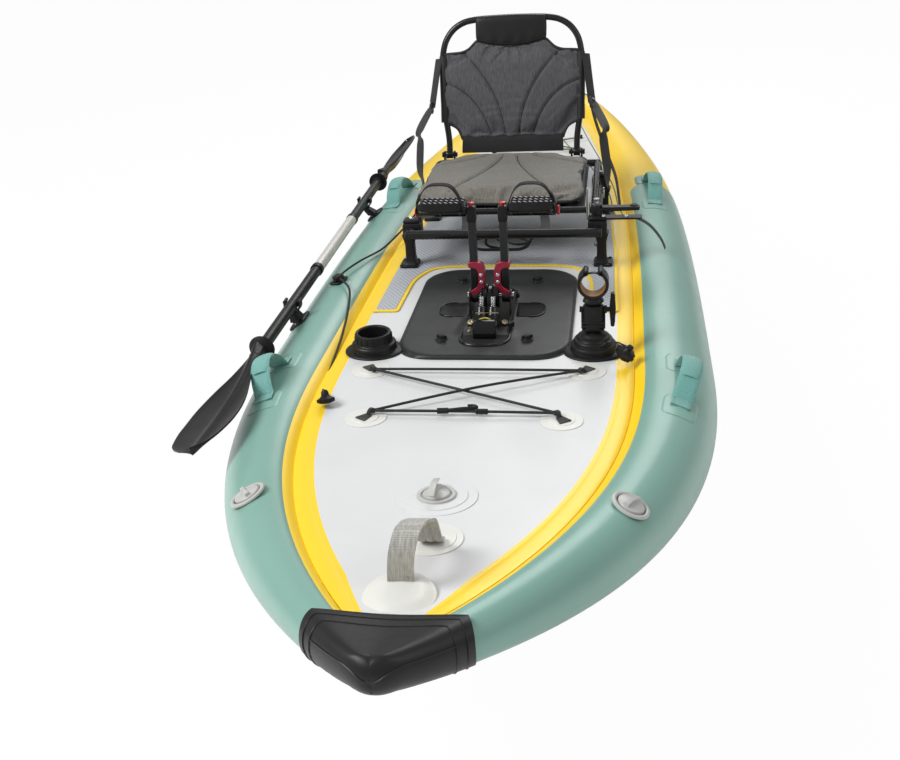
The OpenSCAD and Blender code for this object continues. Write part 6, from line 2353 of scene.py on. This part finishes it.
CM = crank_matrix()
PAX = crank(0, 0, CRANK)
for s, tag in ((1, "port"), (-1, "starboard")):
    body = "swing_" + tag
    g = Geo()
    prof = [(0.0053, 0.0062), (0.0285, 0.0062), (0.0300, 0.0072), (0.0300, 0.0090), (0.0280, 0.0100),
            (0.0280, 0.0165),
            (0.0300, 0.0178), (0.0300, 0.0196), (0.0285, 0.0206), (0.0053, 0.0206)]
    g.lathe([(r, s * x) for r, x in prof], AX, (1, 0, 0), n=48)
    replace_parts(g.done("drum_body_" + tag, "plastic_gloss", body, smooth=34), "drum_" + tag)
    # arm: square extrusion with rounded edges
    g = Geo()
    rows = []
    for h, w in ((0.012, .0086), (0.016, .0092), (CRANK + 0.006, .0092), (CRANK + 0.011, .0086),
                 (CRANK + 0.0120, .0075)):
        rows.append([CM @ V(s * 0.0366 + x, d, h) for x, d in rrect(2 * w, 2 * w + 0.0006, 0.0028, 4)])
    g.loft(rows)
    g.lathe([(0.0053, s * 0.0276), (0.0155, s * 0.0276), (0.0160, s * 0.0286), (0.0160, s * 0.0446),
             (0.0155, s * 0.0456),
             (0.0053, s * 0.0456)], AX, (1, 0, 0), n=36)
    arm = g.done("arm_body_" + tag, "tube_black", body, smooth=40)
    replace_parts(arm, "arm_" + tag)
    # head of the arm: clamp for the pedal axle
    g = Geo()
    rows = []
    for h, w, d2 in ((CRANK - 0.024, .0098, .0100), (CRANK - 0.020, .0108, .0112),
                     (CRANK + 0.0075, .0108, .0112),
                     (CRANK + 0.0118, .0098, .0100)):
        rows.append([CM @ V(s * 0.0366 + x, d, h) for x, d in rrect(2 * w, 2 * d2, 0.003, 4)])
    g.loft(rows)
    g.lathe([(0, s * 0.0440), (0.0068, s * 0.0440), (0.0068, s * 0.1625), (0, s * 0.1625)], PAX, (1, 0, 0),
            n=24)
    g.done("axle_" + tag, "plastic_black", body, smooth=36)
    g = Geo()
    g.lathe([(0, s * 0.1630), (0.0105, s * 0.1630), (0.0112, s * 0.1640), (0.0112, s * 0.1672),
             (0.0100, s * 0.1688),
             (0, s * 0.1692)], PAX, (1, 0, 0), n=28)
    g.done("axle_cap_" + tag, "red", body, smooth=36)
    # burgundy bracket: hooks out at top and bottom, waist on the inner side
    outline_b = rounded_poly([
        (0.0500, .0880, .003), (0.0330, .0915, .004), (0.0180, .0860, .006), (0.0110, .0700, .007),
        (0.0110, .0320, .007),
        (0.0180, .0170, .006), (0.0360, .0060, .006), (0.0450, -.0050, .003), (0.0520, -.0020, .003),
        (0.0490, .0140, .006),
        (0.0300, .0270, .006), (0.0268, .0360, .005), (0.0268, .0620, .005), (0.0310, .0730, .006),
        (0.0500, .0760, .004)], 4)
    m = CM @ Matrix(((s, 0, 0, 0), (0, 0, -1, 0), (0, 1, 0, 0), (0, 0, 0, 1)))
    g = Geo()
    g.prism(outline_b, -0.0104, 0.0135, m)
    br = g.done("crank_bracket_" + tag, "burgundy", body, smooth=40, bevel=0.0016, segs=3)
    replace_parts(br, "crank_" + tag)
    g = Geo()
    for h in (.040, .058):
        q = CM @ V(s * 0.0200, -0.0135, h)
        g.lathe([(0, 0), (0.0045, 0), (0.0045, 0.0018), (0.0034, 0.0026), (0.0018, 0.0026), (0.0016, 0.001),
                 (0, 0.001)],
                q, (CM.to_3x3() @ V(0, -1, 0)), n=16)
    g.done("bracket_screws_" + tag, "steel", body, smooth=30)
    # button
    g = Geo()
    g.lathe([(0, CRANK + 0.0060), (0.0046, CRANK + 0.0060), (0.0046, CRANK + 0.0168),
             (0.0060, CRANK + 0.0172),
             (0.0078, CRANK + 0.0182), (0.0080, CRANK + 0.0206), (0.0062, CRANK + 0.0217),
             (0, CRANK + 0.0219)],
            AX + V(s * 0.0366, 0, 0), CM.to_3x3() @ V(0, 0, 1), n=28)
    bt = g.done("button_body_" + tag, "red", "button_" + tag, smooth=40)
    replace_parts(bt, "button_" + tag)
    # pedal
    PM = Matrix.Translation(PAX)
    cx = s * (0.0485 + 0.0570)
    g = Geo()
    rows = []
    for z, w, l, r in ((0.0085, .098, .072, .014), (0.0105, .108, .086, .018), (0.0150, .1115, .0930, .020),
                       (0.0170, .1080, .0900, .020)):
        rows.append([PM @ V(cx + x, y, z) for x, y in rrect(w, l, r, 6)])
    g.loft(rows)
    g.lathe([(0.0071, s * 0.0490), (0.0120, s * 0.0490), (0.0126, s * 0.0500), (0.0126, s * 0.1595),
             (0.0120, s * 0.1605),
             (0.0071, s * 0.1605)], PAX, (1, 0, 0), n=32)
    for xx in (-0.046, 0.0, 0.046):
        g.box((cx + xx - 0.003, -0.030, 0.000), (cx + xx + 0.003, 0.034, 0.010), matrix=PM)
    # scalloped tread bars
    for y in (-0.036, -0.018, 0.0, 0.018, 0.036):
        rings = []
        for i in range(41):
            f = -1 + 2 * i / 40
            x = 0.050 * f
            amp = 0.0052 * (0.55 + 0.45 * abs(math.sin(f * math.pi * 4.0)) ** 0.7)
            rings.append([PM @ V(cx + x, y + dy, 0.0175 + dz * amp / 0.0052)
                          for dy, dz in ((-0.0055, 0), (-0.0040, 0.0040), (0, 0.0052), (0.0040, 0.0040),
                                         (0.0055, 0))])
        g.loft(rings)
    pd = g.done("pedal_body_" + tag, "plastic_gloss", "pedal_" + tag, smooth=38)
    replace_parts(pd, "pedal_" + tag)
    # heel cup lip and strap
    g = Geo()
    rings = []
    for i in range(29):
        a = math.radians(180 + 180 * i / 28)
        x = 0.054 * math.copysign(abs(math.cos(a)) ** 0.6, math.cos(a))
        y = -0.022 + 0.0265 * math.copysign(abs(math.sin(a)) ** 0.6, math.sin(a))
        hgt = 0.012 + 0.008 * abs(math.sin(a))
        rings.append([PM @ V(cx + x * k, y * 1.0 + (0 if abs(math.cos(a)) > .9 else (k - 1) * -0.02), z)
                      for k, z in ((1.0, 0.014), (1.03, 0.014), (1.03, 0.014 + hgt), (1.0, 0.014 + hgt))])
    g.loft(rings)
    g.done("pedal_lip_" + tag, "plastic_black", "pedal_" + tag, smooth=50, bevel=0.0006)
    pts = []
    hump = 0.062
    for i in range(25):
        f = -1 + 2 * i / 24
        x = 0.0560 * math.copysign(abs(f) ** 0.9, f) * (1.0 + 0.08 * (1 - abs(f)))
        z = 0.010 + hump * (1 - abs(f) ** 3.0)
        pts.append(PM @ V(cx + x, -0.030 + 0.006 * (1 - f * f), z))
    g = Geo()
    g.ribbon(pts, 0.024, 0.0022, PM.to_3x3() @ V(0, 1, 0))
    g.done("pedal_strap_" + tag, "rubber_grip", "pedal_" + tag, smooth=60)
    g = Geo()
    for e in (0, 24):
        q = pts[e]
        g.lathe([(0, -0.003), (0.0062, -0.003), (0.0066, 0.0), (0.0056, 0.003), (0, 0.0034)],
                q + V(0.0025 if q.x < cx else -0.0025, 0, 0),
                (1, 0, 0), n=20)
    g.done("strap_studs_" + tag, "plastic_black", "pedal_" + tag, smooth=40)
    g = Geo()
    tail = [pts[20 if s > 0 else 4], pts[20 if s > 0 else 4] + V(s * 0.010, 0.002, -0.012),
            pts[20 if s > 0 else 4] + V(s * 0.016, 0.006, -0.034),
            pts[20 if s > 0 else 4] + V(s * 0.014, 0.008, -0.050)]
    g.ribbon(smooth_path(tail, 5), 0.018, 0.0018, PM.to_3x3() @ V(0, 1, 0))
    g.done("strap_tail_" + tag, "rubber_grip", "pedal_" + tag, smooth=60)

# fins
for k, (y, name) in enumerate(((FY[0], "fin_front"), (FY[1], "fin_rear"))):
    L = 0.340
    g = Geo()
    g.lathe([(0.0081, -0.0218), (0.0142, -0.0218), (0.0150, -0.0208), (0.0150, 0.0208), (0.0142, 0.0218),
             (0.0081, 0.0218)],
            V(0, y, SPZ), (0, 1, 0), n=32)
    secs = []
    for z, a, b, t in ((-0.016, -.014, .016, .0100), (-0.040, -.020, .030, .0088),
                       (-0.090, -.032, .052, .0074),
                       (-0.150, -.034, .064, .0064), (-0.220, -.033, .065, .0056),
                       (-0.280, -.029, .058, .0048),
                       (-0.315, -.021, .044, .0042), (-0.334, -.010, .028, .0034),
                       (-0.340, .002, .018, .0022)):
        secs.append(((0, y + a, SPZ + z), (0, y + b, SPZ + z), t))
    foil(g, secs)
    fn = g.done(name + "_body", "rubber_grip", name, smooth=50)
    g = Geo()
    g.tube([V(0, y - 0.004, SPZ - 0.012), V(0, y - 0.006, SPZ - 0.150), V(0, y - 0.004, SPZ - 0.332)],
           0.0048, n=14)
    g.done(name + "_mast", "steel", name, smooth=60)
    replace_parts(fn, name)

# ------------------------------------------------------------------ paddle and clips
PX, PZ_ = -0.489, 0.243
g = Geo()


def shaft(y0, y1, r):
    """A rod's outline for lathe, with small chamfers."""
    return [(0, y0), (r - 0.0012, y0), (r, y0 + 0.0012), (r, y1 - 0.0012), (r - 0.0012, y1), (0, y1)]


g.lathe(shaft(-0.421, -0.018, 0.0155), V(PX, 0, PZ_), (0, 1, 0), n=36)
pw = g.done("paddle_sleeve", "paddle_white", "paddle", smooth=40)
g = Geo()
g.lathe(shaft(-0.975, -0.4215, 0.0142), V(PX, 0, PZ_), (0, 1, 0), n=32)
g.lathe(shaft(-0.0175, 0.500, 0.0142), V(PX, 0, PZ_), (0, 1, 0), n=32)
for y in (-0.430, -0.012):
    g.lathe([(0.0142, -0.010), (0.0166, -0.010), (0.0172, -0.008), (0.0172, 0.008), (0.0166, 0.010),
             (0.0142, 0.010)],
            V(PX, y, PZ_), (0, 1, 0), n=32)
pb = g.done("paddle_shaft", "paddle_black", "paddle", smooth=40)
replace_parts(pw, "paddle")
g = Geo()
for y, f in ((-0.925, 1), (0.377, -1)):
    g.lathe([(r, f * h) for r, h in [(0.0142, -0.014), (0.0172, -0.013), (0.0180, -0.008), (0.0230, -0.004),
                                     (0.0292, 0.000),
             (0.0300, 0.0020), (0.0290, 0.0036), (0.0235, 0.0020), (0.0180, 0.0010), (0.0176, 0.010),
             (0.0162, 0.013),
             (0.0142, 0.014)]], V(PX, y, PZ_), (0, 1, 0), n=40)
g.done("drip_rings", "rubber_grip", "paddle", smooth=40)


def blade(name, y0, sgn, length, turn):
    """A spooned blade with a spine, edge lip and asymmetric tip."""
    rows = []
    nb = 40
    m = Matrix.Translation(V(PX, y0, PZ_)) @ Matrix.Rotation(math.radians(turn), 4, "Y")
    for i in range(nb + 1):
        t = i / nb
        y = sgn * length * t
        lead = 0.0145 + 0.0645 * smooth01(t / 0.60) * (1 - max(t - 0.72, 0) ** 1.5 * 3.2)
        trail = 0.0145 + 0.0440 * smooth01((t - 0.14) / 0.60) * (1 - max(t - 0.78, 0) ** 1.5 * 5.0)
        if t > 0.86:
            k = (t - 0.86) / 0.14
            lead *= math.sqrt(max(1 - k ** 2.2, 0.0)) * 0.97 + 0.03
            trail *= math.sqrt(max(1 - k ** 3.2, 0.0)) * 0.97 + 0.03
        bow = -0.012 * math.sin(math.pi * t) - 0.006 * t * t
        top, bot = [], []
        for j in range(25):
            f = -1 + 2 * j / 24
            x = f * (trail if f > 0 else lead)
            spine = (0.0112 * (1 - t) ** 0.9 * math.exp(-(x / 0.0135) ** 2)
                     + 0.0030 * math.exp(-(x / 0.010) ** 2))
            dish = 0.0085 * smooth01(t / 0.4) * f * f
            thick = 0.0022 * (1 - 0.5 * abs(f)) + (0.0006 if abs(f) > 0.9 else 0)
            if t < 0.12:
                rr = 0.0150 * (1 - t / 0.12)
                spine += rr * math.sqrt(max(1 - min(abs(x) / 0.0152, 1) ** 2, 0)) * 0.6
            z = bow * smooth01(t / 0.3) + dish
            top.append(m @ V(x, y, z + thick + spine))
            bot.append(m @ V(x, y, z - thick - spine * 0.75))
        rows.append(top + bot[::-1])
    g = Geo()
    g.loft(rows)
    return g.done(name, "paddle_black", "paddle", smooth=60)


BLADE_LONG = 0.455
SHAFT_FRONT, SHAFT_REAR = -0.925, 0.455
blade("blade_front", SHAFT_FRONT, -1, BLADE_LONG, -21)
blade("blade_rear", SHAFT_REAR, 1, BLADE_LONG, -38)

CLIP_FRONT, CLIP_REAR = -0.666, 0.167
for y, tag in ((CLIP_FRONT, "front"), (CLIP_REAR, "rear")):
    g = Geo()
    rings = []
    for i in range(29):
        a = math.radians(-205 + 230 * i / 28)
        w = 0.0125
        rings.append([V(PX + r * math.cos(a), y + h, PZ_ + r * math.sin(a)) for h, r in
                      ((-w, 0.0178), (-w + 0.001, 0.0168), (w - 0.001, 0.0168), (w, 0.0178), (w, 0.0202),
                       (w - 0.001, 0.0212),
                       (-w + 0.001, 0.0212), (-w, 0.0202))])
    g.loft(rings)
    for a0 in (-205, 25):
        a = math.radians(a0)
        g.lathe([(0, -0.0125), (0.0034, -0.0125), (0.0040, -0.0115), (0.0040, 0.0115), (0.0034, 0.0125),
                 (0, 0.0125)],
                V(PX + 0.0200 * math.cos(a), y, PZ_ + 0.0200 * math.sin(a)), (0, 1, 0), n=16)
    foot = on_tube(y, -37, 0.002, -1)
    nr = tube_normal(y, -37, -1)
    top = V(PX, y, PZ_ - 0.0195)
    rows = []
    for t in (0, .25, .5, .75, 1.0):
        c = (foot + nr * 0.006).lerp(top, t)
        w = 0.017 * (1 - t) + 0.011 * t
        l = 0.020 * (1 - t) + 0.012 * t
        rows.append([c + V(x, yy, 0) for x, yy in rrect(2 * w, 2 * l, 0.005, 4)])
    g.loft(rows)
    m = frame_matrix(foot, nr, (0, 1, 0))
    rows = []
    for z, k in ((0.0, 1.0), (0.003, 1.0), (0.006, 0.92), (0.0085, 0.62)):
        rows.append([m @ V(x * k, yy * k, z) for x, yy in rrect(0.074, 0.050, 0.018, 6)])
    g.loft(rows)
    cl = g.done("paddle_clip_" + tag, "plastic_black", smooth=38, bevel=0.0006)
    g = Geo()
    for q in (-0.026, 0.026):
        g.lathe([(0.0046, 0), (0.0046, 0.0012), (0.0034, 0.0022), (0, 0.0022)], m @ V(q, 0, 0.0055), nr,
                n=14)
    g.done("clip_screws_" + tag, "steel", smooth=36)
    if tag == "front":
        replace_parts(cl, "paddle_clips")
    tube_sheet("clip_patch_" + tag, -1, y - 0.055, y + 0.055, -37, 26, "pvc_teal", 0.0024, True)

# ------------------------------------------------------------------ stage, light, camera
me = bpy.data.meshes.new("ground")
me.from_pydata([(-14, -14, 0), (14, -14, 0), (14, 22, 0), (-14, 22, 0)], [], [[0, 1, 2, 3]])
ground = bpy.data.objects.new("ground", me)
bpy.context.scene.collection.objects.link(ground)
ground.location.z = CAD_BOX[0][2] - 0.003
gm = bpy.data.materials.new("ground_white")
gm.use_nodes = True
gb = gm.node_tree.nodes["Principled BSDF"]
gb.inputs["Base Color"].default_value = (0.93, 0.93, 0.93, 1)
gb.inputs["Roughness"].default_value = 0.9
gn = gm.node_tree
glow = gn.nodes.new("ShaderNodeEmission")
ray = gn.nodes.new("ShaderNodeLightPath")
share = gn.nodes.new("ShaderNodeMath")
share.operation = "MULTIPLY"
share.inputs[1].default_value = 0.96
blend = gn.nodes.new("ShaderNodeMixShader")
gn.links.new(ray.outputs["Is Camera Ray"], share.inputs[0])
gn.links.new(share.outputs["Value"], blend.inputs[0])
gn.links.new(gb.outputs["BSDF"], blend.inputs[1])
gn.links.new(glow.outputs["Emission"], blend.inputs[2])
gn.links.new(blend.outputs["Shader"], gn.nodes["Material Output"].inputs["Surface"])
me.materials.append(gm)

world = bpy.data.worlds.new("soft")
bpy.context.scene.world = world
world.use_nodes = True
wn = world.node_tree
bg = wn.nodes["Background"]
bg.inputs["Color"].default_value = (1.0, 1.0, 1.0, 1)
bg.inputs["Strength"].default_value = 0.40
plain = wn.nodes.new("ShaderNodeBackground")
plain.inputs["Color"].default_value = (1.0, 1.0, 1.0, 1)
plain.inputs["Strength"].default_value = 1.0
seen = wn.nodes.new("ShaderNodeLightPath")
pick = wn.nodes.new("ShaderNodeMixShader")
wn.links.new(seen.outputs["Is Camera Ray"], pick.inputs[0])
wn.links.new(bg.outputs["Background"], pick.inputs[1])
wn.links.new(plain.outputs["Background"], pick.inputs[2])
wn.links.new(pick.outputs["Shader"], wn.nodes["World Output"].inputs["Surface"])


def area(name, loc, target, size, power, size_y=None):
    d = bpy.data.lights.new(name, "AREA")
    d.energy = power
    d.shape = "RECTANGLE"
    d.size = size
    d.size_y = size_y or size
    o = bpy.data.objects.new(name, d)
    bpy.context.scene.collection.objects.link(o)
    o.location = loc
    o.rotation_euler = (Vector(target) - Vector(loc)).to_track_quat("-Z", "Y").to_euler()
    return o


area("key", (-3.6, -2.6, 4.4), (0, -0.4, 0.2), 2.4, 270)
area("fill", (3.8, -2.6, 3.4), (0, -0.3, 0.2), 3.0, 46)
area("back", (0.5, 4.6, 4.2), (0, 0.2, 0.2), 3.2, 120)

cam_data = bpy.data.cameras.new("camera")
cam = bpy.data.objects.new("camera", cam_data)
bpy.context.scene.collection.objects.link(cam)
cam_data.lens = 43.2
cam_data.sensor_width = 36.0
cam_data.clip_end = 100
yaw, pitch, roll = (math.radians(a) for a in (-10.032, 26.480, -4.008))
fw = V(math.sin(yaw) * math.cos(pitch), math.cos(yaw) * math.cos(pitch), -math.sin(pitch))
rt = V(math.cos(yaw), -math.sin(yaw), 0)
up = rt.cross(fw)
right = rt * math.cos(roll) + up * math.sin(roll)
top = -rt * math.sin(roll) + up * math.cos(roll)
rot = Matrix((right, top, -fw)).transposed()
cam.matrix_world = Matrix.Translation(V(0.3102, -3.0415, 1.2384)) @ rot.to_4x4()
bpy.context.scene.camera = cam
bpy.context.scene.view_settings.view_transform = "Standard"
bpy.context.scene.view_settings.look = "None"
